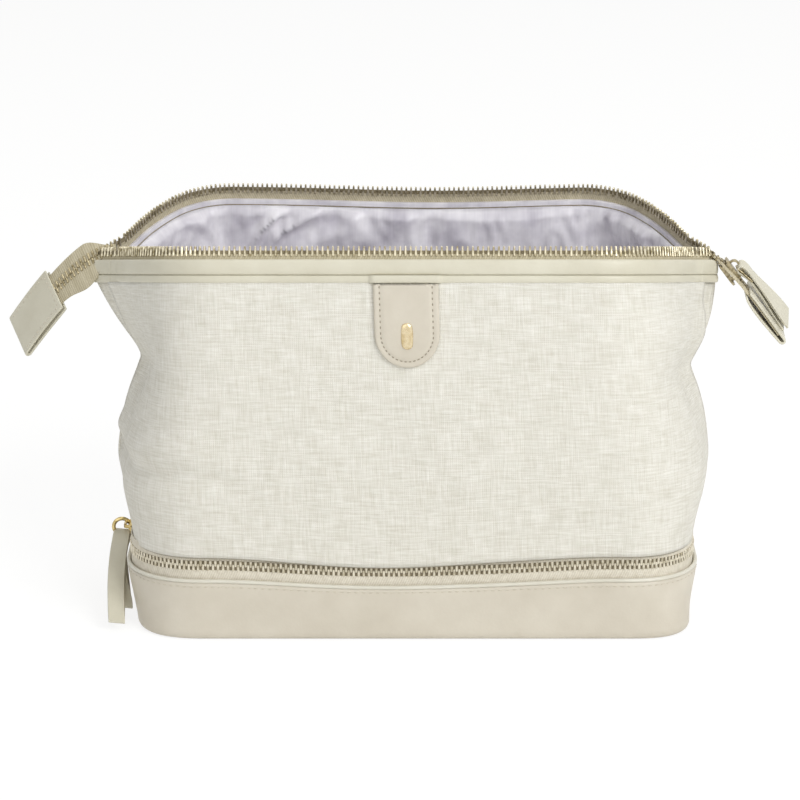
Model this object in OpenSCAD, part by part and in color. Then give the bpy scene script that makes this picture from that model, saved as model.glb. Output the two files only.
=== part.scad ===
// Wide-mouth makeup bag with a zipped lower compartment. Sizes are in millimetres.
// The origin is the middle of the underside, +X runs right, +Z runs up and the front faces -Y.
// The mouth stands open: a front and a rear bail hold the two halves of the zip apart.

/* [Base] */
// Length of the base at its zip
base_l = 286; // [262:1:310]
// Depth of the base at its zip
base_d = 134; // [124:1:144]
// Corner radius of the base in plan
base_r = 40; // [30:1:46]
// Height of the leather wall below its rolled edge
wall_h = 27.5; // [25:0.5:32]
// How far the underside is drawn in from the top of the wall
draw_in = 5; // [3:0.5:7]
// Thickness of the leather
leather_t = 1.7; // [1.4:0.1:1.9]
// Radius of the rolled edge on top of the wall
roll_r = 1; // [0.8:0.1:1.1]
// Thickness of the stiffening boards
board_t = 2.2; // [1.5:0.1:2.6]

/* [Upper body] */
// Height of the top of the leather band at the front
rim_z = 193; // [184:1:202]
// Thickness of the canvas
canvas_t = 1.6; // [1.2:0.1:1.8]
// Thickness of the lining
lining_t = 0.8; // [0.6:0.1:1]
// Outward belly of the canvas half way up
belly = 3; // [1:0.5:5]
// Extra fullness of the sides just above the base
side_full = 2; // [0:0.5:4]
// Depth of the fold in the left side
fold_left = 20; // [8:0.5:22]
// Depth of the fold in the right side
fold_right = 10.5; // [4:0.5:16]
// Sideways lean of the mouth over the base
sway = -4; // [-6:0.5:6]
// Width along the outline of the canvas strip let into each side, from its middle to the seam
gusset_half = 20; // [18:0.5:24]

/* [Mouth] */
// Half length of the straight front of the rim
rim_straight = 88; // [78:1:98]
// Distance from the zip ends to the front of the rim, along the bail
rim_w = 70; // [67:0.5:73]
// Radius of the tight part of the rim corner
rim_r1 = 42; // [36:1:46]
// Radius of the slack part of the rim corner
rim_r2 = 110; // [95:1:125]
// Turn of the tight part of the rim corner
rim_turn1 = 50; // [46:1:54]
// Turn of the rim where it runs out to the zip end
rim_turn2 = 66; // [62:1:68]
// Upward tilt of the bails from the zip ends to the rim
rim_tilt = 15; // [12:0.5:17]
// Height of the leather band round the rim
band_h = 10.6; // [9:0.2:12]
// Height of zip tape that shows above the band
tape_show = 4.2; // [3:0.2:5.5]
// Distance from the zip ends at which the legs of each bail stop
leg_stop = 14; // [12:0.5:18]
// How far the sides flare out to the zip ends
flare = 5; // [3:0.5:7]
// Width of the sprung steel strip in the rim
spring_w = 6; // [5:0.2:7]

/* [Zips] */
// Pitch of the zip teeth
tooth_pitch = 2.45; // [2.3:0.05:3]
// Length of one tooth along the zip
tooth_l = 1.3; // [1.1:0.1:1.5]
// Height of one tooth across the zip
tooth_h = 2.5; // [2.2:0.1:2.6]
// Thickness of a tooth through the tape
tooth_t = 2.5; // [2.2:0.1:2.6]
// Thickness of the zip tape
tape_t = 0.8; // [0.6:0.05:0.9]
// Free space between two facing rows of teeth
row_gap = 1.8; // [1.7:0.1:2]
// Length of a slider
slider_l = 13; // [11:0.5:14]
// Running clearance of a slider round the teeth
slider_gap = 0.35; // [0.3:0.05:0.4]

/* [Trim] */
// Width of the tab on the front
tab_w = 30; // [24:1:36]
// Length of the tab on the front
tab_l = 38; // [34:1:44]
// Width of a zip tail
tail_w = 19; // [17:0.5:21]
// Length of a zip tail up to the fold of its leather end
tail_l = 58; // [55:1:62]
// Length of the leather end of a tail
tail_tab_l = 33; // [28:1:35]
// Droop of the right tail below the level
droop_right = 53; // [46:1:56]
// Droop of the left tail below the level
droop_left = 45; // [38:1:50]
// Twist of the left tail towards the front
twist_left = 62; // [40:1:70]
// Width of the leather pulls
pull_w = 10; // [8:0.5:12]
// Length of the leather of the main pull
pull_l = 36; // [32:1:44]
// Forward slant of the lower pull from the upright
pull_slant = 55; // [50:1:58]

/* [Hidden] */
$fn = 40;
// Space between pieces that lie against each other
lay = 0.35;
// Height of the middle of the lower zip
zip_z = wall_h + 2 * roll_r + 7;
// Inset of the middle of the lower zip from the outline
zip_in = max(leather_t, canvas_t) + 0.3 + tape_t / 2;
// Lower edge of the canvas
canvas_z = zip_z + row_gap / 2 + tooth_h + 1.6;
// Height of the zip ends at the top of the band
end_z = rim_z - rim_w * sin(rim_tilt);
// Level, along the bail's normal, where canvas and lining stop under the band
under = -band_h - 0.4;
// Depths of the layers from the outer face of the wall
gusset_in = canvas_t + lay;
gusset_t = 1;
lining_in = gusset_in + gusset_t + lay;
// Depths of the layers in the rim, from the outer face of the band
band_t = 2;
rim_tape_in = band_t + 0.3;
rim_zip_in = rim_tape_in + tape_t / 2;
spring_in = rim_tape_in + tape_t + 0.3;
spring_t = 1;
facing_in = spring_in + spring_t + 0.3;
// Half height of the opening inside a slider and thickness of its plates
chan = tooth_t / 2 + slider_gap;
plate_t = 1.1;
// Half width of a slider
slider_w = row_gap / 2 + tooth_h + slider_gap + 0.9;
// Height of the middle of a slider's bow above the middle of the zip
bow_n = chan + plate_t + 3;
bow_t = 1;
bow_w = 1.6;
// Wire and radius of the lower pull's ring, and its offset from the bow
ring_wire = 0.6;
ring_r = 3.8;
ring_out = ring_r + ring_wire + 0.2 - (bow_n - chan - plate_t);
ring_drop = sqrt(pow(ring_r - ring_wire - norm([bow_t, bow_w]) / 2 - 0.12, 2) - ring_out * ring_out);
// Inner face of the patches at the zip ends, and where the tails begin above them
patch_x = rim_reach() + flare - band_t - 0.4;
tail_x = patch_x + band_t / 2;
// Part of the left tail that stays flat before the twist
neck_l = 8.5;

// Straight, bent and total lengths of a quarter of the base outline
base_a = base_l / 2 - base_r;
base_b = base_d / 2 - base_r;
base_arc = PI * base_r / 2;
base_len = base_a + base_arc + base_b;
// Lengths and joints of a half of the rim outline
rim_a1 = rim_r1 * rim_turn1 * PI / 180;
rim_a2 = rim_r2 * (rim_turn2 - rim_turn1) * PI / 180;
rim_p1 = [rim_straight + rim_r1 * sin(rim_turn1), rim_w - rim_r1 * (1 - cos(rim_turn1))];
rim_p2 = rim_p1 + rim_r2 * [sin(rim_turn2) - sin(rim_turn1), cos(rim_turn2) - cos(rim_turn1)];
rim_leg = rim_p2[1] / sin(rim_turn2);
rim_len = rim_straight + rim_a1 + rim_a2 + rim_leg;
rim_end = rim_len - leg_stop / sin(rim_turn2);
// Length of half the lower zip, from the front middle to its end near the rear corner
zip_half = base_a + base_arc + 2 * base_b - 2;

// Half length of the rim at the zip ends
function rim_reach() =
    rim_straight + rim_r1 * sin(rim_turn1) + rim_r2 * (sin(rim_turn2) - sin(rim_turn1))
    + (rim_w - rim_r1 * (1 - cos(rim_turn1)) + rim_r2 * (cos(rim_turn2) - cos(rim_turn1))) / tan(rim_turn2);

function lerp(a, b, t) = a + (b - a) * t;

function smooth(t) = let (c = min(1, max(0, t))) c * c * (3 - 2 * c);

// Point and outward normal of the base outline, at a length from the front middle
function base_at(s) =
    s <= base_a ? [s, base_d / 2, 0, 1] :
    s <= base_a + base_arc ?
        let (g = (s - base_a) / base_r * 180 / PI)
        [base_a + base_r * sin(g), base_b + base_r * cos(g), sin(g), cos(g)] :
    [base_l / 2, base_b - (s - base_a - base_arc), 1, 0];

// Point and outward normal of the rim outline in the plane of a bail, at a length from the front middle
function rim_at(s) =
    s <= rim_straight ? [s, rim_w, 0, 1] :
    s <= rim_straight + rim_a1 ?
        let (g = (s - rim_straight) / rim_r1 * 180 / PI)
        [rim_straight + rim_r1 * sin(g), rim_w - rim_r1 * (1 - cos(g)), sin(g), cos(g)] :
    s <= rim_straight + rim_a1 + rim_a2 ?
        let (g = rim_turn1 + (s - rim_straight - rim_a1) / rim_r2 * 180 / PI)
        [rim_p1[0] + rim_r2 * (sin(g) - sin(rim_turn1)),
         rim_p1[1] + rim_r2 * (cos(g) - cos(rim_turn1)), sin(g), cos(g)] :
    let (k = s - rim_straight - rim_a1 - rim_a2)
    [rim_p2[0] + k * cos(rim_turn2), rim_p2[1] - k * sin(rim_turn2), sin(rim_turn2), cos(rim_turn2)];

// Plan point at a signed length along the rim or the base, set in by a depth
function plan_pt(on_rim, s, d) =
    let (q = on_rim ? rim_at(abs(s)) : base_at(abs(s)), sx = s < 0 ? -1 : 1)
    [sx * (q[0] - d * q[2]), -(q[1] - d * q[3])];

// Lengths at which a plain strip along half the rim or half the base bends
function half_stations(on_rim, last) =
    on_rim ?
        concat([rim_straight],
            [for (i = [1:7]) rim_straight + rim_a1 * i / 7],
            [for (i = [1:4]) rim_straight + rim_a1 + rim_a2 * i / 4], [last]) :
        concat([base_a], [for (i = [1:9]) base_a + base_arc * i / 9], last > base_a + base_arc ? [last] : []);

function stations(on_rim, last) =
    let (h = half_stations(on_rim, last), n = len(h) - 1)
    concat([for (i = [n:-1:0]) -h[i]], h);

// Plan outline of a strip between two depths
function strip_outline(on_rim, list, d1, d2) =
    concat([for (s = list) plan_pt(on_rim, s, d1)],
        [for (i = [len(list) - 1:-1:0]) plan_pt(on_rim, list[i], d2)]);

// Plan outline of a row of teeth on a thin web, centred at a depth
function comb_outline(on_rim, half, d) =
    let (count = floor((half - tooth_l) / tooth_pitch),
         web = tape_t * 0.4,
         mids = [for (i = [-count:count]) i * tooth_pitch],
         k = tooth_l / 2)
    concat(
        [for (m = mids) each [
            plan_pt(on_rim, m - k, d - web), plan_pt(on_rim, m - k, d - tooth_t / 2),
            plan_pt(on_rim, m + k, d - tooth_t / 2), plan_pt(on_rim, m + k, d - web)]],
        [for (i = [len(mids) - 1:-1:0]) let (m = mids[i]) each [
            plan_pt(on_rim, m + k, d + web), plan_pt(on_rim, m + k, d + tooth_t / 2),
            plan_pt(on_rim, m - k, d + tooth_t / 2), plan_pt(on_rim, m - k, d + web)]]);

// Outward push of the wall: u runs from the front middle to the side middle, v from the base to the band
function push(u, v, left) =
    let (side = smooth((u - 0.56) / 0.36), fold = left ? fold_left : fold_right,
         level = left ? 0.68 : 0.65, spread = left ? 0.19 : 0.14)
    belly * sin(180 * v)
    + side * (side_full * sin(180 * min(1, v / 0.62))
        - fold * exp(-pow((v - level) / spread, 2)) * (1 - pow(v, 16)));

// Outward flare of the top of the wall towards the zip end
function flare_at(u) = flare * max(0, (u - seam_u) / (1 - seam_u));

// Point of the front wall at a depth from its outer face
function wall_pt(u, v, t) =
    let (left = u < 0, sx = left ? -1 : 1,
         b = base_at(abs(u) * base_len), r = rim_at(abs(u) * rim_len),
         rw = r[1] - t * r[3],
         lean = under * sin(rim_tilt) * min(1, (1 - abs(u)) / 0.08),
         k = push(abs(u), v, left))
    [sx * (lerp(b[0] - t * b[2], r[0] + flare_at(abs(u)) - t * r[2], v) + k * b[2]) + sway * v,
     -(lerp(b[1] - t * b[3], rw * cos(rim_tilt) - lean, v) + k * b[3]),
     lerp(canvas_z, end_z + rw * sin(rim_tilt) + under * cos(rim_tilt), v)];

// Level of a wall row above the lower edge of the canvas
function low_v(z) = (z - canvas_z) / (end_z + under - canvas_z);

wall_rows = [0, 0.1, 0.2, 0.3, 0.4, 0.49, 0.56, 0.62, 0.67, 0.72, 0.79, 0.86, 0.93, 1];

function rows_from(v0) = concat([v0], [for (v = wall_rows) if (v > v0 + 0.03) v]);

// Where the seams of the side strips run, and where the strips begin behind them
seam_u = 1 - gusset_half / base_len;
hidden_u = 0.82;

// Columns of a wall, which all layers share so that they keep their distance
function wall_cols(last) =
    let (h = concat([0.16, 0.32, 0.44, 0.52, 0.57, 0.62, 0.67, 0.72, 0.77, hidden_u, 0.86, seam_u],
        last > seam_u ? [last] : []))
    concat([for (i = [len(h) - 1:-1:0]) -h[i]], [0], h);

// Solid between two equal grids of points, the first one outside. Columns before and after the two
// given ones are split along the other diagonal, so that mirrored layers stay alike.
module sheet_solid(outside, inside, turn_to = 0, turn_from = 1000) {
    nc = len(outside);
    nr = len(outside[0]);
    pts = concat([for (c = outside) each c], [for (c = inside) each c]);
    m = nc * nr;
    polyhedron(pts, concat(
        [for (i = [0:nc - 2], j = [0:nr - 2])
            let (a = i * nr + j, b = a + 1, c = a + nr, d = c + 1)
            each i < turn_to || i >= turn_from ?
                [[a, b, d], [a, d, c], [m + a, m + d, m + b], [m + a, m + c, m + d]] :
                [[a, b, c], [c, b, d], [m + a, m + c, m + b], [m + c, m + d, m + b]]],
        [for (i = [0:nc - 2]) each [
            [i * nr, (i + 1) * nr, m + i * nr],
            [(i + 1) * nr, m + (i + 1) * nr, m + i * nr],
            [i * nr + nr - 1, m + i * nr + nr - 1, (i + 1) * nr + nr - 1],
            [(i + 1) * nr + nr - 1, m + i * nr + nr - 1, m + (i + 1) * nr + nr - 1]]],
        [for (j = [0:nr - 2]) each [
            [j, m + j, j + 1],
            [j + 1, m + j, m + j + 1],
            [m - nr + j, m - nr + j + 1, m + m - nr + j],
            [m - nr + j + 1, m + m - nr + j + 1, m + m - nr + j]]]));
}

// Lengths round the whole base outline, as quarter lengths with the signs of their quarter
loop_quarter = concat([0, base_a * 0.5, base_a], [for (i = [1:8]) base_a + base_arc * i / 8]);

function loop_pts(inset, z) =
    let (n = len(loop_quarter),
         q = [for (s = loop_quarter) let (p = base_at(s)) [p[0] - inset * p[2], p[1] - inset * p[3]]])
    concat(
        [for (i = [0:n - 1]) [q[i][0], -q[i][1], z]],
        [for (i = [n - 1:-1:0]) [q[i][0], q[i][1], z]],
        [for (i = [1:n - 1]) [-q[i][0], q[i][1], z]],
        [for (i = [n - 1:-1:1]) [-q[i][0], -q[i][1], z]]);

// Closed band round the base with the given profile of insets and heights
module loop_ring(profile) {
    loops = [for (p = profile) loop_pts(p[0], p[1])];
    n = len(loops[0]);
    m = len(loops);
    polyhedron([for (l = loops) each l],
        [for (j = [0:m - 1], i = [0:n - 1])
            let (k = (j + 1) % m, a = j * n + i, b = j * n + (i + 1) % n,
                 c = k * n + i, d = k * n + (i + 1) % n)
            each [[a, c, b], [b, c, d]]]);
}

// Tray round the base outline: the profile runs from the underside over the edge to the floor
module loop_tray(profile) {
    loops = [for (p = profile) loop_pts(p[0], p[1])];
    n = len(loops[0]);
    m = len(loops);
    last = (m - 1) * n;
    polyhedron(concat([for (l = loops) each l], [[0, 0, profile[0][1]], [0, 0, profile[m - 1][1]]]),
        concat([for (i = [0:n - 1]) [m * n, i, (i + 1) % n]],
            [for (j = [0:m - 2], i = [0:n - 1])
                let (a = j * n + i, b = j * n + (i + 1) % n, c = (j + 1) * n + i, d = (j + 1) * n + (i + 1) % n)
                each [[a, c, b], [b, c, d]]],
            [for (i = [0:n - 1]) [m * n + 1, last + (i + 1) % n, last + i]]));
}

// Flat plate with the base outline set in by a depth
module base_plate(inset, z, h) {
    r = base_r - inset;
    translate([0, 0, z]) linear_extrude(h) {
        square([2 * base_a, base_d - 2 * inset], center = true);
        square([base_l - 2 * inset, 2 * base_b], center = true);
        for (sx = [-1, 1], sy = [-1, 1]) translate([sx * base_a, sy * base_b]) circle(r);
    }
}

// Strip that stands on the base outline between two depths
module base_strip(list, d1, d2, z1, z2) {
    translate([0, 0, z1]) linear_extrude(z2 - z1) polygon(strip_outline(false, list, d1, d2));
}

// Frame of the front bail, with the zip ends at its origin
module at_front() {
    translate([sway, 0, end_z]) rotate([-rim_tilt, 0, 0]) children();
}

module at_rear() {
    mirror([0, 1, 0]) at_front() children();
}

// Strip that follows the rim between two depths
module rim_strip(d1, d2, n1, n2) {
    translate([0, 0, n1]) linear_extrude(n2 - n1) polygon(strip_outline(true, stations(true, rim_end), d1, d2));
}

module rim_teeth() {
    translate([0, 0, tape_show]) linear_extrude(tooth_h) polygon(comb_outline(true, rim_end, rim_zip_in));
}

module base_teeth(z) {
    translate([0, 0, z]) linear_extrude(tooth_h) polygon(comb_outline(false, zip_half, zip_in));
}

module base_bottom() {
    color("#cdc3b2") base_plate(draw_in + 1.4, 0, leather_t);
}

// Outer inset of the leather wall at a height
function wall_inset(z) = draw_in * pow(1 - (z - 4) / (wall_h - 4), 1.4);

wall_levels = [4, 7, 12, 18, wall_h - 5, wall_h];

// Inner inset of the leather wall at a height, pared at the top to lie outside the zip tape
function wall_inner(z) = min(wall_inset(z) + leather_t, z > wall_h - 5.5 ? zip_in - tape_t / 2 - 0.15 : 99);

module base_wall() {
    foot = leather_t + 0.15;
    color("#d6cdbd") loop_ring(concat(
        [[draw_in + 2.4 + leather_t, foot], [draw_in + 1.8, foot], [draw_in + 0.7, foot + 0.6]],
        [for (z = wall_levels) [wall_inset(z), z]],
        [for (i = [len(wall_levels) - 1:-1:1]) [wall_inner(wall_levels[i]), wall_levels[i]]],
        [[draw_in + leather_t + 0.3, foot + 2.6]]));
}

module base_roll() {
    color("#dfd7c8") loop_ring([for (i = [0:7])
        [0.75 - roll_r * cos(i * 45 + 22.5), wall_h + roll_r + 0.05 + roll_r * sin(i * 45 + 22.5)]]);
}

module base_board() {
    color("#8d8577") base_plate(draw_in + 2.4 + leather_t + lay, leather_t + lay, board_t);
}

module base_lining() {
    z0 = leather_t + 2 * lay + board_t;
    gap = leather_t + lay + 0.1;
    edge = zip_in + tape_t / 2 + lay;
    color("#d9d4d6") loop_tray([
        [draw_in + gap + 1.6, z0],
        [wall_inset(7) + gap + 0.6, 7.5],
        [wall_inset(18) + gap + 0.2, 18],
        [edge, wall_h - 5],
        [edge, wall_h - 1],
        [edge + lining_t, wall_h - 1],
        [edge + lining_t, wall_h - 5],
        [wall_inset(18) + gap + 0.2 + lining_t, 18],
        [draw_in + gap + 1.6 + lining_t, z0 + lining_t]]);
}

module base_zip_tape() {
    color("#bdb5a4")
        base_strip(stations(false, zip_half), zip_in - tape_t / 2, zip_in + tape_t / 2,
            wall_h - 3.5, zip_z - row_gap / 2 - tooth_h);
}

module base_zip_teeth() {
    color("#b99b5a") base_teeth(zip_z - row_gap / 2 - tooth_h);
}

module base_zip_stops() {
    s = zip_half;
    top = zip_z - row_gap / 2;
    color("#b99b5a") for (k = [-1, 1]) {
        p = plan_pt(false, k * s, zip_in);
        translate([p[0], p[1], top - tooth_h + (tooth_h - 0.4) / 2])
            cube([tooth_t, 1.2, tooth_h - 0.4], center = true);
    }
}

// The rear strip on which the upper body tips back, cut at its fold line
module hinge_leaf(z1, z2) {
    mirror([0, 1, 0])
        base_strip(stations(false, base_a + base_arc * 0.97), zip_in - tape_t / 2, zip_in + tape_t / 2, z1, z2);
}

module base_hinge_leaf() {
    color("#d6cdbd") hinge_leaf(wall_h - 3.5, zip_z - 0.3);
}

module bag_hinge_leaf() {
    color("#d6cdbd") hinge_leaf(zip_z + 0.3, canvas_z + 1.8);
}

// Point of the front half of a wall, kept clear of the other half at the sides
function half_pt(u, v, t) = let (p = wall_pt(u, v, t)) [p[0], min(p[1], -0.25), p[2]];

module wall_half(last, v0, d1, d2) {
    cols = wall_cols(last);
    rows = rows_from(v0);
    sheet_solid([for (u = cols) [for (v = rows) half_pt(u, v, d1)]],
        [for (u = cols) [for (v = rows) half_pt(u, v, d2)]], (len(cols) - 1) / 2);
}

module canvas_front() {
    color("#e6e1d3") wall_half(seam_u, 0, 0, canvas_t);
}

module canvas_back() {
    color("#e6e1d3") mirror([0, 1, 0]) wall_half(seam_u, 0, 0, canvas_t);
}

// Canvas strip that closes a side between the two halves
module gusset(sx) {
    us = [hidden_u, 0.86, seam_u, 1, seam_u, 0.86, hidden_u];
    sy = [1, 1, 1, 0, -1, -1, -1];
    rows = rows_from(low_v(canvas_z + 2.4));
    grid_out = [for (i = [0:6]) [for (v = rows) let (p = wall_pt(sx * us[i], v, gusset_in))
        [p[0], sy[i] * p[1], p[2]]]];
    grid_in = [for (i = [0:6]) [for (v = rows) let (p = wall_pt(sx * us[i], v, gusset_in + gusset_t))
        [p[0], sy[i] * p[1], p[2]]]];
    if (sx > 0) sheet_solid(grid_out, grid_in, 0, 3);
    else sheet_solid(grid_in, grid_out, 0, 3);
}

module gusset_left() {
    color("#dcd6c7") gusset(-1);
}

module gusset_right() {
    color("#dcd6c7") gusset(1);
}

module lining_front() {
    color("#d9d4d6") wall_half(1 - 0.5 / base_len, low_v(canvas_z + 1.5), lining_in, lining_in + lining_t);
}

module lining_back() {
    color("#d9d4d6") mirror([0, 1, 0])
        wall_half(1 - 0.5 / base_len, low_v(canvas_z + 1.5), lining_in, lining_in + lining_t);
}

module floor_lining() {
    color("#d9d4d6") base_plate(zip_in + tape_t / 2 + lay, canvas_z + 0.2, lining_t);
}

module floor_board() {
    color("#8d8577") base_plate(zip_in + chan + plate_t + 2, canvas_z + 0.2 - lay - board_t, board_t);
}

module bag_zip_tape() {
    color("#bdb5a4")
        base_strip(stations(false, zip_half), zip_in - tape_t / 2, zip_in + tape_t / 2,
            zip_z + row_gap / 2 + tooth_h, canvas_z + 1.8);
}

module bag_zip_teeth() {
    color("#b99b5a") base_teeth(zip_z + row_gap / 2);
}

// Lean of the front wall behind the tab
tab_top = wall_pt(0, 1, 0);
tab_low = wall_pt(0, 0.7, 0);
tab_lean = atan2(tab_low[1] - tab_top[1], tab_top[2] - tab_low[2]);

// Frame of the tab, with its top middle at the origin, +Y up the wall and +Z out of it
module at_tab() {
    translate(tab_top) rotate([90 + tab_lean, 0, 0]) translate([0, -0.4, 0.45]) children();
}

module front_tab() {
    r = tab_w / 2;
    color("#d6cdbd") at_tab() difference() {
        linear_extrude(leather_t) {
            translate([-r, -tab_l + r]) square([tab_w, tab_l - r]);
            translate([0, -tab_l + r]) circle(r);
        }
        translate([0, -tab_l * 0.66, -1]) cylinder(r = 1.1, h = leather_t + 2);
    }
}

module tab_stud() {
    color("#c9a85c") at_tab() translate([0, -tab_l * 0.66, 0]) {
        cylinder(r = 1.05, h = leather_t + 0.4);
        translate([0, 0, leather_t + 0.1]) linear_extrude(1.3) {
            square([4.4, 5], center = true);
            for (k = [-1, 1]) translate([0, k * 2.5]) circle(2.2);
        }
    }
}

module band() {
    color("#d9cfba") rim_strip(0, band_t, -band_h, 0);
}

module spring() {
    color("#9a9a98") rim_strip(spring_in, spring_in + spring_t, -2.5 - spring_w, -2.5);
}

module facing() {
    color("#d9d4d6") rim_strip(facing_in, facing_in + lining_t, -band_h, -1);
}

module rim_tape() {
    color("#b5ab92") rim_strip(rim_tape_in, rim_tape_in + tape_t, 1 - band_h, tape_show);
}

module front_band() {
    at_front() band();
}

module front_spring() {
    at_front() spring();
}

module front_facing() {
    at_front() facing();
}

module front_zip_tape() {
    at_front() rim_tape();
}

module front_zip_teeth() {
    color("#b99b5a") at_front() rim_teeth();
}

module rear_band() {
    at_rear() band();
}

module rear_spring() {
    at_rear() spring();
}

module rear_facing() {
    at_rear() facing();
}

module rear_zip_tape() {
    at_rear() rim_tape();
}

module rear_zip_teeth() {
    color("#b99b5a") at_rear() rim_teeth();
}

// Half of the leather patch that closes the rim at a zip end, in the frame of a bail
module patch_half(sx) {
    tip = patch_x + band_t;
    w1 = leg_stop - 1.4;
    run = (gusset_half * rim_len / base_len) * sin(rim_turn2);
    x1 = rim_reach() - w1 / tan(rim_turn2) + flare * (1 - w1 / run);
    n = [w1, tip - x1] / norm([w1, tip - x1]);
    translate([0, 0, -band_h]) linear_extrude(band_h) scale([sx, -1]) polygon([
        [x1, w1], [tip - 0.6, 1.4], [tip, 0], [tip, -0.4], [patch_x - 0.6, -0.4],
        [x1 - band_t * n[0], w1 - band_t * n[1]]]);
}

module end_patch(sx) {
    at_front() patch_half(sx);
    at_rear() patch_half(sx);
}

module end_patch_left() {
    color("#d9cfba") end_patch(-1);
}

module end_patch_right() {
    color("#d9cfba") end_patch(1);
}

// Height at which a tail of a given droop and half thickness lies on the outer edge of its patch
function tail_z(droop, half) =
    end_z + 0.3 + tan(droop) * (band_t / 2 + half * sin(droop)) + half * cos(droop);

// Frames of the tails: +X runs down the tail, +Y across it and +Z out of its upper face
module at_right_tail() {
    translate([sway + tail_x, 0, tail_z(droop_right, tooth_t / 2)]) rotate([0, droop_right, 0]) children();
}

module at_left_neck() {
    translate([sway - tail_x, 0, tail_z(droop_left, tape_t / 2)]) rotate([0, 0, 180]) rotate([0, droop_left, 0])
        children();
}

module at_left_tail() {
    at_left_neck() rotate([-twist_left, 0, 0]) children();
}

module tail_tape(first) {
    inner = row_gap / 2 + tooth_h;
    color("#b5ab92") for (k = [-1, 1]) {
        y = k > 0 ? inner : -tail_w / 2;
        translate([first, y, -tape_t / 2]) cube([tail_l - 3.6 - first, tail_w / 2 - inner, tape_t]);
    }
}

module tail_teeth(first) {
    count = floor((tail_l - 5 - first) / tooth_pitch);
    web = tape_t * 0.4;
    outline = concat(
        [for (i = [0:count - 1]) let (m = first + i * tooth_pitch) each [
            [m, -web], [m, -tooth_t / 2], [m + tooth_l, -tooth_t / 2], [m + tooth_l, -web]]],
        [for (i = [count - 1:-1:0]) let (m = first + i * tooth_pitch) each [
            [m + tooth_l, web], [m + tooth_l, tooth_t / 2], [m, tooth_t / 2], [m, web]]]);
    color("#b99b5a") for (k = [-1, 1])
        translate([0, k > 0 ? row_gap / 2 + tooth_h : -row_gap / 2, 0])
            rotate([90, 0, 0]) linear_extrude(tooth_h) polygon(outline);
}

// Folded leather end of a tail, closed at its far end
module tail_tab() {
    r1 = tooth_t / 2 + 0.2;
    r2 = r1 + leather_t;
    s0 = tail_l - tail_tab_l;
    color("#d6cdbd") rotate([90, 0, 0]) translate([0, 0, -tail_w / 2 - 1]) linear_extrude(tail_w + 2) {
        translate([s0, r1]) square([tail_tab_l - r2, leather_t]);
        translate([s0, -r2]) square([tail_tab_l - r2, leather_t]);
        translate([tail_l - r2, 0]) difference() {
            circle(r2, $fn = 16);
            circle(r1, $fn = 16);
            translate([-2 * r2, -r2 - 1]) square([2 * r2, 2 * r2 + 2]);
        }
    }
}

module left_tail_tape() {
    at_left_tail() tail_tape(neck_l);
    color("#b5ab92") at_left_neck() translate([0.4, -3, -tape_t / 2]) cube([neck_l - 2, 6, tape_t]);
}

module left_tail_teeth() {
    at_left_tail() tail_teeth(neck_l);
}

module left_tail_tab() {
    at_left_tail() tail_tab();
}

module right_tail_tape() {
    at_right_tail() tail_tape(0.4);
}

module right_tail_teeth() {
    at_right_tail() tail_teeth(1);
}

module right_tail_tab() {
    at_right_tail() tail_tab();
}

// Plan of a slider: a blunt nose at +X and a square tail
function slider_plan() =
    let (h = slider_l / 2, w = slider_w)
    [[-h, -w + 0.8], [-h + 0.8, -w], [h - 4, -w], [h - 1.6, -w + 1.2], [h - 0.3, -w + 3], [h - 1.2, 0],
     [h - 0.3, w - 3], [h - 1.6, w - 1.2], [h - 4, w], [-h + 0.8, w], [-h, w - 0.8]];

// Slider lying along X with its bow on +Z. Lips guide the tape on the sides that have them.
module slider(lips) {
    for (k = [0, 1]) mirror([0, 0, k]) translate([0, 0, chan]) linear_extrude(plate_t) polygon(slider_plan());
    for (side = lips, k = [-1, 1])
        translate([-slider_l / 2 + 0.8, side > 0 ? slider_w - 0.9 : -slider_w,
            k > 0 ? tape_t / 2 + slider_gap : -chan])
            cube([slider_l - 4.8, 0.9, chan - tape_t / 2 - slider_gap]);
    translate([slider_l / 2 - 4.2, -row_gap / 2 + slider_gap, -chan])
        cube([2.2, row_gap - 2 * slider_gap, 2 * chan]);
    bow(slider_l * 0.36);
}

// Bow over a slider that carries its pull
module bow(half) {
    top = bow_n + bow_t / 2;
    foot = chan + plate_t;
    low = bow_n - bow_t / 2;
    translate([0, bow_w / 2, 0]) rotate([90, 0, 0]) linear_extrude(bow_w)
        polygon([[-half, foot], [-half, foot + 1.6], [-half + 0.7, top - 0.6], [-half + 1.8, top],
            [half - 1.8, top], [half - 0.7, top - 0.6], [half, foot + 1.6], [half, foot],
            [half - bow_t, foot], [half - bow_t, foot + 1.4], [half - 2.1, low], [-half + 2.1, low],
            [-half + bow_t, foot + 1.4], [-half + bow_t, foot]]);
}

// Place of the main slider, clear of the patch
main_at = slider_l / 2 + 6;

module main_slider() {
    color("#b99b5a") at_right_tail() translate([main_at, 0, 0]) slider([-1, 1]);
}

// Wire link of the main pull, lying down the tail from the bow
link_l = 10;
link_in = bow_w / 2 + 0.8;
link_n = chan + plate_t + 1.35;
// Bore and outer radius of the loop at the top of a pull
loop_r1 = 1.5;
loop_r2 = loop_r1 + 0.9;
// Rise of the link, so that the pull lies over the leather end of the tail
link_rise = asin((tooth_t / 2 + 0.2 + leather_t + 0.5 + loop_r2 - link_n) / link_l);

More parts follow.
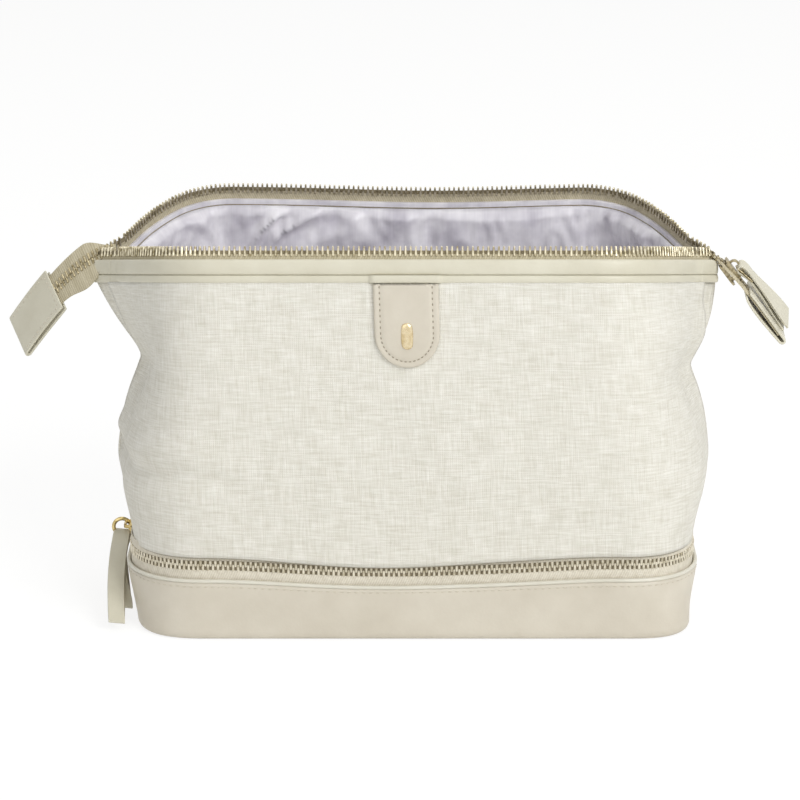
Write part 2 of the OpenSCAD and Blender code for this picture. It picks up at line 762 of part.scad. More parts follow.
module main_link() {
    w = 2 * link_in + 2 * ring_wire;
    color("#b99b5a") at_right_tail() translate([main_at, 0, link_n]) rotate([0, -link_rise, 0]) {
        for (x = [0, link_l]) translate([x, w / 2, 0]) rotate([90, 0, 0]) cylinder(r = ring_wire, h = w);
        for (k = [-1, 1]) translate([0, k * (link_in + ring_wire), 0]) rotate([0, 90, 0])
            cylinder(r = ring_wire, h = link_l);
        for (x = [0, link_l], k = [-1, 1]) translate([x, k * (link_in + ring_wire), 0]) sphere(r = ring_wire);
    }
}

// Leather of a pull: a loop round a bar along Y at the origin, then two leaves down +X
module pull_leather(length, width, neck) {
    r1 = loop_r1;
    r2 = loop_r2;
    rotate([90, 0, 0]) {
        translate([0, 0, -neck / 2]) linear_extrude(neck) {
            difference() {
                circle(r2);
                circle(r1);
                translate([0, -r1]) square([r2 + 1, 2 * r1]);
            }
            for (k = [-r2, r1]) translate([0, k]) square([7, 0.9]);
        }
        for (k = [-r2, r1]) translate([6.2, k, -width / 2]) cube([length - 6.2, 0.9, width]);
    }
}

module main_pull() {
    color("#d6cdbd") at_right_tail()
        translate([main_at + link_l * cos(link_rise), 0, link_n + link_l * sin(link_rise)])
        pull_leather(pull_l, pull_w, 2 * link_in - 0.6);
}

// Frame of the lower slider on the left side: +X forward along the zip, +Y up and +Z outward
module at_base_slider() {
    translate([-base_l / 2 + zip_in, 0, zip_z]) rotate([90, 0, -90]) children();
}

module base_slider() {
    color("#c9a85c") at_base_slider() slider([-1]);
}

module base_ring() {
    color("#c9a85c") at_base_slider() translate([0, -ring_drop, bow_n + ring_out]) rotate([0, 90, 0])
        rotate_extrude() translate([ring_r, 0]) circle(ring_wire);
}

// Length of the lower pull, so that its tip stays off the ground
low_pull_z = zip_z - ring_drop - ring_r + 0.35;
low_pull_l = (low_pull_z - 3.4) / cos(pull_slant);

module base_pull() {
    color("#d6cdbd") at_base_slider() translate([0, -ring_drop - ring_r + 0.35, bow_n + ring_out])
        rotate([0, 0, -90 + pull_slant]) rotate([90, 0, 0]) pull_leather(low_pull_l, pull_w - 1.5, 4.2);
}

base_bottom();
base_wall();
base_roll();
base_board();
base_lining();
base_zip_tape();
base_zip_teeth();
base_zip_stops();
base_hinge_leaf();
canvas_front();
canvas_back();
gusset_left();
gusset_right();
lining_front();
lining_back();
floor_board();
floor_lining();
bag_zip_tape();
bag_zip_teeth();
bag_hinge_leaf();
front_tab();
tab_stud();
front_band();
front_spring();
front_facing();
front_zip_tape();
front_zip_teeth();
rear_band();
rear_spring();
rear_facing();
rear_zip_tape();
rear_zip_teeth();
end_patch_left();
end_patch_right();
left_tail_tape();
left_tail_teeth();
left_tail_tab();
right_tail_tape();
right_tail_teeth();
right_tail_tab();
main_slider();
main_link();
main_pull();
base_slider();
base_ring();
base_pull();
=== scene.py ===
"""Dresses a wide-mouth makeup bag: linen upper body, leather tray, brass zips, leather tails and pulls."""

import logging
import math
from collections.abc import Callable, Iterable, Sequence
from dataclasses import dataclass, field
from enum import Enum
from typing import Any

import bmesh
import bpy
from mathutils import Matrix, Vector, noise


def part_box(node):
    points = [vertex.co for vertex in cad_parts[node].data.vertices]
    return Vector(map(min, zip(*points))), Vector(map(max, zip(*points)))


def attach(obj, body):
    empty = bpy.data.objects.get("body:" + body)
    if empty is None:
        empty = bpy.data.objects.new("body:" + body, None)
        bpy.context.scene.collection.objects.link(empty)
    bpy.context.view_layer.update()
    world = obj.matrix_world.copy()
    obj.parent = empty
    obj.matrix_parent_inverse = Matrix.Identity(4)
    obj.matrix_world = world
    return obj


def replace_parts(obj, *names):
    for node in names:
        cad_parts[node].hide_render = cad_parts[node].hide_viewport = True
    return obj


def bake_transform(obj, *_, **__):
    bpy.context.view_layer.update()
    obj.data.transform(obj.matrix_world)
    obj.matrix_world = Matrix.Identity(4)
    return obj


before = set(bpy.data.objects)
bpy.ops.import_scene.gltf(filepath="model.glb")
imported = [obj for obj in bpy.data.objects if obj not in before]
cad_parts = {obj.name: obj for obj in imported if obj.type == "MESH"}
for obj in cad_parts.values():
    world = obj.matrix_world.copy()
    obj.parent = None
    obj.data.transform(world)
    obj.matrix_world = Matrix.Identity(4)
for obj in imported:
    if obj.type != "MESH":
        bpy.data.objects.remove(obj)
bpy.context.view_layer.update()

LOG = logging.getLogger("makeup_bag")
MM = 0.001
Place = Callable[[float, float], Vector]
Spot = tuple[Vector, Vector, Vector]
Profile = Sequence[tuple[float, float]]
Surface = tuple[Any, dict[str, Any]]
# millimetres from tooth to tooth in a row of any zip
TOOTH_PITCH = 2.45
LINING_COLUMNS = 161
# degrees above which the edges of strips, tapes, teeth and folded leather stay sharp
STRIP_SHARP, TAPE_SHARP, TOOTH_SHARP, LEAF_SHARP = 60, 50, 30, 40


class Face(Enum):
    """The two halves of the bag, with the sign of y on each."""

    FRONT = -1
    REAR = 1

    @property
    def word(self) -> str:
        """Name of the half as it stands in piece names."""
        return self.name.lower()

    @property
    def body(self) -> str:
        """Name of the bail's body on this half."""
        return f"{self.word}_frame"


class End(Enum):
    """The two ends of the mouth, with the sign of x at each."""

    LEFT = -1
    RIGHT = 1

    @property
    def word(self) -> str:
        """Name of the end as it stands in node names."""
        return self.name.lower()


def lerp(a: float, b: float, t: float) -> float:
    """Value between a and b at share t."""
    return a + (b - a) * t


def smooth(t: float) -> float:
    """Share t clamped to 0..1 and eased at both ends."""
    c = min(1.0, max(0.0, t))
    return c * c * (3 - 2 * c)


def hump(x: float, middle: float, spread: float) -> float:
    """Bell curve of height 1."""
    return math.exp(-(((x - middle) / spread) ** 2))


def wobble(a: float, b: float, seed: float) -> float:
    """Smooth noise from about -1 to 1 at a place on a surface."""
    return noise.noise(Vector((a, b, seed)))


def steps(first: float, last: float, count: int) -> list[float]:
    """Evenly spaced values from first to last."""
    return [lerp(first, last, i / (count - 1)) for i in range(count)]


def vectors(*points: tuple[float, float, float]) -> tuple[Vector, ...]:
    """Vectors of plain points."""
    return tuple(Vector(point) for point in points)


def linear(colour: str) -> tuple[float, float, float, float]:
    """Linear RGBA of an sRGB hex colour.

    Args:
        colour: Six hex digits after a hash sign.

    Returns:
        The colour as Blender's sockets take it.
    """
    parts = [int(colour[i:i + 2], 16) / 255 for i in (1, 3, 5)]
    done = [c / 12.92 if c <= 0.04045 else ((c + 0.055) / 1.055) ** 2.4 for c in parts]
    return (done[0], done[1], done[2], 1.0)


def add_node(tree: bpy.types.NodeTree, kind: str, inputs: dict[Any, Any] | None = None,
             **settings: Any) -> bpy.types.Node:
    """Adds a node with its settings, values and links.

    Args:
        tree: Node tree that gets the node.
        kind: Blender's name of the node type.
        inputs: Values, output sockets or nodes by input name or index; a node stands for its first output.
        **settings: Attributes of the node.

    Returns:
        The new node.
    """
    node = tree.nodes.new(kind)
    for key, value in settings.items():
        setattr(node, key, value)
    for key, value in (inputs or {}).items():
        if isinstance(value, bpy.types.Node):
            value = value.outputs[0]
        if isinstance(value, bpy.types.NodeSocket):
            tree.links.new(value, node.inputs[key])
        else:
            node.inputs[key].default_value = value
    return node


@dataclass(frozen=True)
class Finish:
    """A surface finish: the real material's name, the record's slot it belongs to and its two shades."""

    name: str
    slot: str
    light: str
    dark: str

    def material(self) -> bpy.types.Material:
        """Gives the finish's Blender material, made at its first use.

        Returns:
            The material.
        """
        found = bpy.data.materials.get(self.name)
        if found:
            return found
        made = bpy.data.materials.new(self.name)
        made.use_nodes = True
        tree = made.node_tree
        tree.nodes.clear()
        share, values = self.surface(tree)
        colour = add_node(tree, "ShaderNodeMix", {
            0: share, 6: linear(self.dark), 7: linear(self.light)}, data_type="RGBA")
        shader = add_node(tree, "ShaderNodeBsdfPrincipled", {"Base Color": colour.outputs[2], **values})
        add_node(tree, "ShaderNodeOutputMaterial", {"Surface": shader})
        return made

    def surface(self, tree: bpy.types.NodeTree) -> Surface:
        """Builds the patterns of the finish."""
        raise NotImplementedError


@dataclass(frozen=True)
class Linen(Finish):
    """Woven linen canvas: matt, with uneven threads that give fine streaks both ways."""

    thread_mm: float = 0.95
    slub_mm: float = 13.0
    blotch_mm: float = 9.0

    def surface(self, tree: bpy.types.NodeTree) -> Surface:
        """Builds slubs along both thread directions, soft blotches and a plain-weave bump.

        Args:
            tree: Node tree of the material.

        Returns:
            The share of the light shade and the shader's other values.
        """
        uv = add_node(tree, "ShaderNodeTexCoord").outputs["UV"]
        fine, far = 1 / (self.thread_mm * MM), 1 / (self.slub_mm * MM)
        streaks = []
        for scale in ((fine, far, 1.0), (far, fine, 1.0)):
            drawn = add_node(tree, "ShaderNodeMapping", {"Vector": uv, "Scale": scale})
            streaks.append(add_node(tree, "ShaderNodeTexNoise", {
                "Vector": drawn, "Scale": 1.0, "Detail": 3.0, "Roughness": 0.65}))
        blotch = add_node(tree, "ShaderNodeTexNoise", {
            "Vector": uv, "Scale": 1 / (self.blotch_mm * MM), "Detail": 2.0})
        total = add_node(tree, "ShaderNodeMath", {0: streaks[0], 1: 0.8, 2: streaks[1]},
                         operation="MULTIPLY_ADD")
        total = add_node(tree, "ShaderNodeMath", {0: blotch, 1: 0.25, 2: total}, operation="MULTIPLY_ADD")
        share = add_node(tree, "ShaderNodeMapRange", {"Value": total, "From Min": 0.72, "From Max": 1.3})
        # threads are drawn a little coarser than real ones so that they still show in the picture
        wave = 2 * math.pi / (20 * self.thread_mm * MM)
        threads = [add_node(tree, "ShaderNodeTexWave", {
            "Vector": uv, "Scale": wave, "Distortion": 1.2, "Detail": 1.0, "Detail Scale": 0.4},
            wave_type="BANDS", bands_direction=way).outputs["Fac"] for way in ("X", "Y")]
        weave = add_node(tree, "ShaderNodeMath", {0: threads[0], 1: threads[1]}, operation="MULTIPLY")
        height = add_node(tree, "ShaderNodeMath", {0: weave, 1: 0.6, 2: total}, operation="MULTIPLY_ADD")
        bump = add_node(tree, "ShaderNodeBump", {"Height": height, "Strength": 0.55, "Distance": 0.35 * MM})
        return share, {"Roughness": 0.92, "Specular IOR Level": 0.25, "Sheen Weight": 0.12,
                       "Sheen Roughness": 0.6, "Normal": bump}


@dataclass(frozen=True)
class Leather(Finish):
    """Corrected-grain leather: a smooth coated face with a fine pebble and a soft, broad gloss."""

    grain_mm: float = 1.1
    pore_mm: float = 0.5
    cloud_mm: float = 28.0
    gloss: float = 0.5

    def surface(self, tree: bpy.types.NodeTree) -> Surface:
        """Builds soft colour clouds, the pebble bump and an uneven gloss.

        Args:
            tree: Node tree of the material.

        Returns:
            The share of the light shade and the shader's other values.
        """
        spot = add_node(tree, "ShaderNodeTexCoord").outputs["Object"]
        cloud = add_node(tree, "ShaderNodeTexNoise", {
            "Vector": spot, "Scale": 1 / (self.cloud_mm * MM), "Detail": 4.0, "Roughness": 0.6})
        share = add_node(tree, "ShaderNodeMapRange", {"Value": cloud, "From Min": 0.3, "From Max": 0.7})
        pebble = add_node(tree, "ShaderNodeTexVoronoi", {
            "Vector": spot, "Scale": 1 / (self.grain_mm * MM)}, feature="SMOOTH_F1").outputs["Distance"]
        pores = add_node(tree, "ShaderNodeTexNoise", {
            "Vector": spot, "Scale": 1 / (self.pore_mm * MM), "Detail": 2.0})
        height = add_node(tree, "ShaderNodeMath", {0: pores, 1: 0.35, 2: pebble}, operation="MULTIPLY_ADD")
        bump = add_node(tree, "ShaderNodeBump", {"Height": height, "Strength": 0.22, "Distance": 0.2 * MM})
        rough = add_node(tree, "ShaderNodeMapRange", {
            "Value": cloud, "To Min": self.gloss - 0.06, "To Max": self.gloss + 0.08})
        return share, {"Roughness": rough, "Specular IOR Level": 0.42, "Normal": bump}


@dataclass(frozen=True)
class Satin(Finish):
    """Polyester satin lining: fine threads one way, a silky gloss, and a cool grey mottle that is painted
    shade of folds.
    """

    thread_mm: float = 0.9
    float_mm: float = 30.0
    painted_fold_shade_mm: float = 16.0

    def surface(self, tree: bpy.types.NodeTree) -> Surface:
        """Builds thread streaks, a grey mottle that is painted shade of folds, and a silky gloss.

        Args:
            tree: Node tree of the material.

        Returns:
            The share of the light shade and the shader's other values.
        """
        uv = add_node(tree, "ShaderNodeTexCoord").outputs["UV"]
        drawn = add_node(tree, "ShaderNodeMapping", {
            "Vector": uv, "Scale": (1 / (self.thread_mm * MM), 1 / (self.float_mm * MM), 1.0)})
        thread = add_node(tree, "ShaderNodeTexNoise", {"Vector": drawn, "Scale": 1.0, "Detail": 2.0})
        # broad dark patches in the colour: painted shade of the lining's folds
        painted_fold_shade = add_node(tree, "ShaderNodeTexNoise", {
            "Vector": uv, "Scale": 1 / (self.painted_fold_shade_mm * MM), "Detail": 3.0})
        both = add_node(tree, "ShaderNodeMath", {0: thread, 1: 0.12, 2: painted_fold_shade}, operation="MULTIPLY_ADD")
        share = add_node(tree, "ShaderNodeMapRange", {"Value": both, "From Min": 0.3, "From Max": 0.76})
        bump = add_node(tree, "ShaderNodeBump", {"Height": both, "Strength": 0.25, "Distance": 0.4 * MM})
        return share, {"Roughness": 0.36, "Specular IOR Level": 0.5, "Sheen Weight": 0.2,
                       "Sheen Roughness": 0.4, "Normal": bump}


@dataclass(frozen=True)
class ZipTape(Finish):
    """Woven polyester zip tape: flat, matt and ribbed across its length."""

    rib_mm: float = 1.1
    fluff_mm: float = 2.5
    slant: float = math.radians(24)

    def surface(self, tree: bpy.types.NodeTree) -> Surface:
        """Builds the ribs of the tape and their shade.

        Args:
            tree: Node tree of the material.

        Returns:
            The share of the light shade and the shader's other values.
        """
        uv = add_node(tree, "ShaderNodeTexCoord").outputs["UV"]
        # ribs are drawn coarser than the real weave so that they show
        turned = add_node(tree, "ShaderNodeMapping", {"Vector": uv, "Rotation": (0.0, 0.0, self.slant)})
        rib = add_node(tree, "ShaderNodeTexWave", {
            "Vector": turned, "Scale": 2 * math.pi / (20 * self.rib_mm * MM), "Distortion": 0.6},
            wave_type="BANDS", bands_direction="X").outputs["Fac"]
        fluff = add_node(tree, "ShaderNodeTexNoise", {
            "Vector": uv, "Scale": 1 / (self.fluff_mm * MM), "Detail": 3.0})
        both = add_node(tree, "ShaderNodeMath", {0: rib, 1: 0.35, 2: fluff}, operation="MULTIPLY_ADD")
        share = add_node(tree, "ShaderNodeMapRange", {"Value": both, "From Min": 0.35, "From Max": 0.95})
        bump = add_node(tree, "ShaderNodeBump", {"Height": rib, "Strength": 0.4, "Distance": 0.2 * MM})
        return share, {"Roughness": 0.86, "Specular IOR Level": 0.3, "Normal": bump}


@dataclass(frozen=True)
class Metal(Finish):
    """Plated brass or bare steel: polished on faces, darker and duller at random spots."""

    gloss: float = 0.24
    metal: float = 1.0
    stain_mm: float = 2.2

    def surface(self, tree: bpy.types.NodeTree) -> Surface:
        """Builds the tarnish in the colour and the gloss.

        Args:
            tree: Node tree of the material.

        Returns:
            The share of the light shade and the shader's other values.
        """
        spot = add_node(tree, "ShaderNodeTexCoord").outputs["Object"]
        stain = add_node(tree, "ShaderNodeTexNoise", {
            "Vector": spot, "Scale": 1 / (self.stain_mm * MM), "Detail": 3.0})
        share = add_node(tree, "ShaderNodeMapRange", {"Value": stain, "From Min": 0.3, "From Max": 0.62})
        rough = add_node(tree, "ShaderNodeMapRange", {
            "Value": stain, "To Min": self.gloss + 0.14, "To Max": self.gloss - 0.04})
        return share, {"Metallic": self.metal, "Roughness": rough}


@dataclass(frozen=True)
class Fibre(Finish):
    """Spun or pulped fibres: bonded sewing thread with an uneven shade, or dull, speckled board."""

    grain_mm: float = 1.5
    detail: float = 2.0
    uneven: float = 0.5
    rough: float = 0.6

    def surface(self, tree: bpy.types.NodeTree) -> Surface:
        """Builds the uneven shade of the fibres.

        Args:
            tree: Node tree of the material.

        Returns:
            The share of the light shade and the shader's other values.
        """
        spot = add_node(tree, "ShaderNodeTexCoord").outputs["Object"]
        speck = add_node(tree, "ShaderNodeTexNoise", {
            "Vector": spot, "Scale": 1 / (self.grain_mm * MM), "Detail": self.detail,
            "Roughness": self.uneven})
        return speck, {"Roughness": self.rough}


# woven linen: dry and pale, no gloss
LINEN = Linen("linen_canvas", "canvas", "#F1EFE7", "#D3CFC1")
# coated leather: an even cream; the band and the turned edges are smoother and shine a little more
HIDE = Leather("grained_leather", "leather", "#DAD3C4", "#CFC7B7")
BAND_HIDE = Leather("band_leather", "leather", "#DBD7C5", "#CFCAB6", gloss=0.42)
PALE_HIDE = Leather("turned_leather_edge", "leather", "#E4E1D4", "#D8D4C5", gloss=0.4)
# woven polyester satin: cool white, with grey patches that are painted shade of folds
SATIN = Satin("satin_lining", "lining", "#F4F2F6", "#BEBAC4")
# woven polyester: warm and matt; the cords are coloured dark as painted shade between the teeth
TAPE = ZipTape("zip_tape", "tape", "#D4CBB1", "#B3A98C")
PALE_TAPE = ZipTape("pale_zip_tape", "tape", "#E8E2D3", "#D0C8B6")
CHAIN_BED_SHADE = ZipTape("zip_bed_painted_shade", "tape", "#867C66", "#5F5745")
RIM_CHAIN_BED_SHADE = ZipTape("rim_zip_bed_painted_shade", "tape", "#94896D", "#6E6450")
# plated brass: dull old gold on the teeth, and darker, partly as painted shade, on the tail teeth, the main
# slider and its link; bright gold on the lower slider and its ring, pale gold on the stud
TEETH = Metal("antique_brass_teeth", "brass", "#D8D0B8", "#857A5B", gloss=0.4)
SHADED_TEETH = Metal("dark_brass_painted_shade", "brass", "#B7AB8C", "#6F6448", gloss=0.34)
PALE_TEETH = Metal("lacquered_brass_teeth", "brass", "#E6DFCD", "#B7AD94", gloss=0.42, metal=0.5)
GOLD = Metal("polished_gold_brass", "brass", "#D9C48C", "#94804C", gloss=0.2)
CHAMPAGNE = Metal("champagne_brass", "brass", "#E2D2AF", "#CDB88C", gloss=0.22)
# rolled steel strip: bare grey
STEEL = Metal("spring_steel", "steel", "#B9BABB", "#8B8D90", gloss=0.3)
# twisted polyester thread: matt cream, and a darker copy that is painted shade, on the tab's stitches and on
# dark lines that stand for shadow gaps
THREAD = Fibre("cream_thread", "leather", "#DDD6C6", "#C2B9A6")
THREAD_IN_PAINTED_SHADE = Fibre("shaded_thread", "leather", "#A79E8B", "#8B8270")
# pressed pulp: dull and speckled
BOARD = Fibre("pulp_board", "board", "#9C9485", "#7E7667", grain_mm=1.8, detail=5.0, uneven=0.7, rough=0.95)


def grid(columns: Sequence[float], rows: Sequence[float], place: Place, flip: bool = False,
         uv: Callable[[float, float], tuple[float, float]] | None = None) -> bmesh.types.BMesh:
    """Lays a grid over a surface.

    Args:
        columns: First surface values, one for each column.
        rows: Second surface values, one for each row.
        place: Point in millimetres for a pair of surface values.
        flip: Turns the faces round.
        uv: Lengths in millimetres for a pair of surface values, for the UV map.

    Returns:
        The mesh, in metres.
    """
    bm = bmesh.new()
    across, up = len(columns) - 1, len(rows) - 1
    bmesh.ops.create_grid(bm, x_segments=across, y_segments=up, size=1.0)
    layer = bm.loops.layers.uv.new("UVMap")
    at = {v: (columns[round((v.co.x + 1) / 2 * across)], rows[round((v.co.y + 1) / 2 * up)])
          for v in bm.verts}
    for face in bm.faces:
        for loop in face.loops:
            a, b = uv(*at[loop.vert]) if uv else at[loop.vert]
            loop[layer].uv = (a * MM, b * MM)
    for vert in bm.verts:
        vert.co = place(*at[vert]) * MM
    if flip:
        bmesh.ops.reverse_faces(bm, faces=bm.faces[:])
    return bm


def flat_uv(point: Vector) -> tuple[float, float]:
    """Lengths over a floor and up the walls round it, in millimetres, for the threads of a lining."""
    return point.x + 0.6 * point.z, point.y - 0.8 * point.z


def weld(bm: bmesh.types.BMesh, hole: Callable[[bmesh.types.BMEdge], bool] | None = None,
         turn: bool = True) -> None:
    """Joins the seam of a mesh.

    Args:
        bm: Mesh with doubled points along its seam.
        hole: Says whether an open edge belongs to a hole to fill.
        turn: Turns all faces outwards.
    """
    bmesh.ops.remove_doubles(bm, verts=bm.verts[:], dist=1e-7)
    if hole:
        bmesh.ops.holes_fill(bm, edges=[e for e in bm.edges if e.is_boundary and hole(e)], sides=0)
    if turn:
        bmesh.ops.recalc_face_normals(bm, faces=bm.faces[:])


def flat_profile(outer: float, inner: float, low: float, high: float) -> Profile:
    """Corners of a flat strip's section."""
    return [(outer, low), (outer, high), (inner, high), (inner, low)]


def round_profile(middle: tuple[float, float], radii: tuple[float, float], count: int) -> Profile:
    """Corners of a round section."""
    return [(middle[0] + radii[0] * math.cos(a), middle[1] + radii[1] * math.sin(a))
            for a in steps(0.0, 2 * math.pi, count + 1)[:-1]]


def tube(columns: Sequence[float], profile: Profile,
         place: Callable[[float, float, float], Vector], closed: bool = False) -> bmesh.types.BMesh:
    """Sweeps a closed profile along a path.

    Args:
        columns: Places along the path.
        profile: Corners of the profile, in order.
        place: Point in millimetres for a place on the path and the two values of a corner.
        closed: True where the path closes on itself.

    Returns:
        The closed mesh, in metres.
    """
    ring = [*profile, profile[0]]
    girth = [0.0]
    for a, b in zip(ring, ring[1:]):
        girth.append(girth[-1] + math.dist(a, b))
    bm = grid(columns, list(range(len(ring))), lambda c, i: place(c, *ring[int(i)]),
              uv=lambda c, i: (c, girth[int(i)]))
    weld(bm, None if closed else lambda edge: True)
    return bm


def basis(along: Vector, out: Vector) -> Matrix:
    """Turn that puts local X along a direction and local Z out of a surface.

    Args:
        along: Direction for local X.
        out: Direction for local Z, made square to the first.

    Returns:
        The turn as a four by four matrix.
    """
    x = along.normalized()
    y = out.cross(x).normalized()
    return Matrix((x, y, x.cross(y))).transposed().to_4x4()


def stitches(places: Iterable[Spot], length: float = 2.3, width: float = 0.6) -> bmesh.types.BMesh:
    """Makes rounded stitches.

    Args:
        places: Middle of each stitch in millimetres, its direction and the way out of the surface.
        length: Length of a stitch in millimetres.
        width: Width of a stitch in millimetres.

    Returns:
        The mesh, in metres.
    """
    bm = bmesh.new()
    size = Matrix.Diagonal((length * MM, width * MM, width * 0.75 * MM, 1.0))
    for middle, along, out in places:
        bmesh.ops.create_icosphere(bm, subdivisions=1, radius=0.5,
                                   matrix=Matrix.Translation(middle * MM) @ basis(along, out) @ size)
    return bm


@dataclass(frozen=True)
class Tooth:
    """One zip tooth: its sizes in millimetres, and how far it narrows at the tip."""

    length: float
    height: float
    thick: float
    tip: float
    rounding: float = 0.28

    def row(self, places: Iterable[Spot]) -> bmesh.types.BMesh:
        """Makes teeth with rounded edges.

        Args:
            places: Middle of each foot in millimetres, the direction of the zip and the way to the tip.

        Returns:
            The mesh, in metres.
        """
        bm = bmesh.new()
        size = Matrix.Diagonal((self.length * MM, self.thick * MM, self.height * MM, 1.0))
        for foot, along, up in places:
            made = bmesh.ops.create_cube(bm, size=1.0)["verts"]
            bmesh.ops.translate(bm, vec=(0, 0, 0.5), verts=made)
            bmesh.ops.scale(bm, vec=(self.tip, self.tip, 1), verts=[v for v in made if v.co.z > 0.5])
            bmesh.ops.transform(bm, verts=made,
                                matrix=Matrix.Translation(foot * MM) @ basis(along, up) @ size)
        bmesh.ops.bevel(bm, geom=bm.edges[:], offset=self.rounding * MM, offset_type="OFFSET", segments=1,
                        profile=0.5, affect="EDGES", material=-1, clamp_overlap=True)
        return bm


def make_piece(name: str, bm: bmesh.types.BMesh, finish: Finish,
               sharp: float | None = None) -> bpy.types.Object:
    """Turns a mesh into a piece with its finish.

    Args:
        name: Name of the piece.
        bm: Its mesh, which is freed.
        finish: Its finish.
        sharp: Angle in degrees above which edges stay sharp.

    Returns:
        The piece.
    """
    mesh = bpy.data.meshes.new(name)
    bm.to_mesh(mesh)
    bm.free()
    mesh.polygons.foreach_set("use_smooth", [True] * len(mesh.polygons))
    if sharp is not None:
        mesh.set_sharp_from_angle(angle=math.radians(sharp))
    mesh.materials.append(finish.material())
    obj = bpy.data.objects.new(name, mesh)
    bpy.context.scene.collection.objects.link(obj)
    LOG.info("%s: %d faces in %s", name, len(mesh.polygons), finish.name)
    return obj


def thicken(obj: bpy.types.Object, thickness: float) -> None:
    """Gives a sheet its thickness in millimetres, to the inside of its faces."""
    shell = obj.modifiers.new("thickness", "SOLIDIFY")
    shell.thickness, shell.offset, shell.use_even_offset = thickness * MM, -1.0, False


def round_edges(obj: bpy.types.Object, width: float) -> None:
    """Rounds a piece's sharp edges.

    Args:
        obj: The piece.
        width: Width of the rounding in millimetres.
    """
    bevel = obj.modifiers.new("rounded_edges", "BEVEL")
    bevel.width, bevel.segments = width * MM, 2
    bevel.limit_method, bevel.angle_limit = "ANGLE", math.radians(40)


@dataclass(frozen=True)
class SideFold:
    """Fold in a side: depth in millimetres, share of the height, and reach and form over and under it."""

    depth: float
    at: float
    over: tuple[float, float]
    under: tuple[float, float]


FOLDS = {End.LEFT: SideFold(19.6, 0.683, (0.205, 1.5), (0.28, 1.1)),
         End.RIGHT: SideFold(12.2, 0.65, (0.15, 1.3), (0.22, 1.2))}


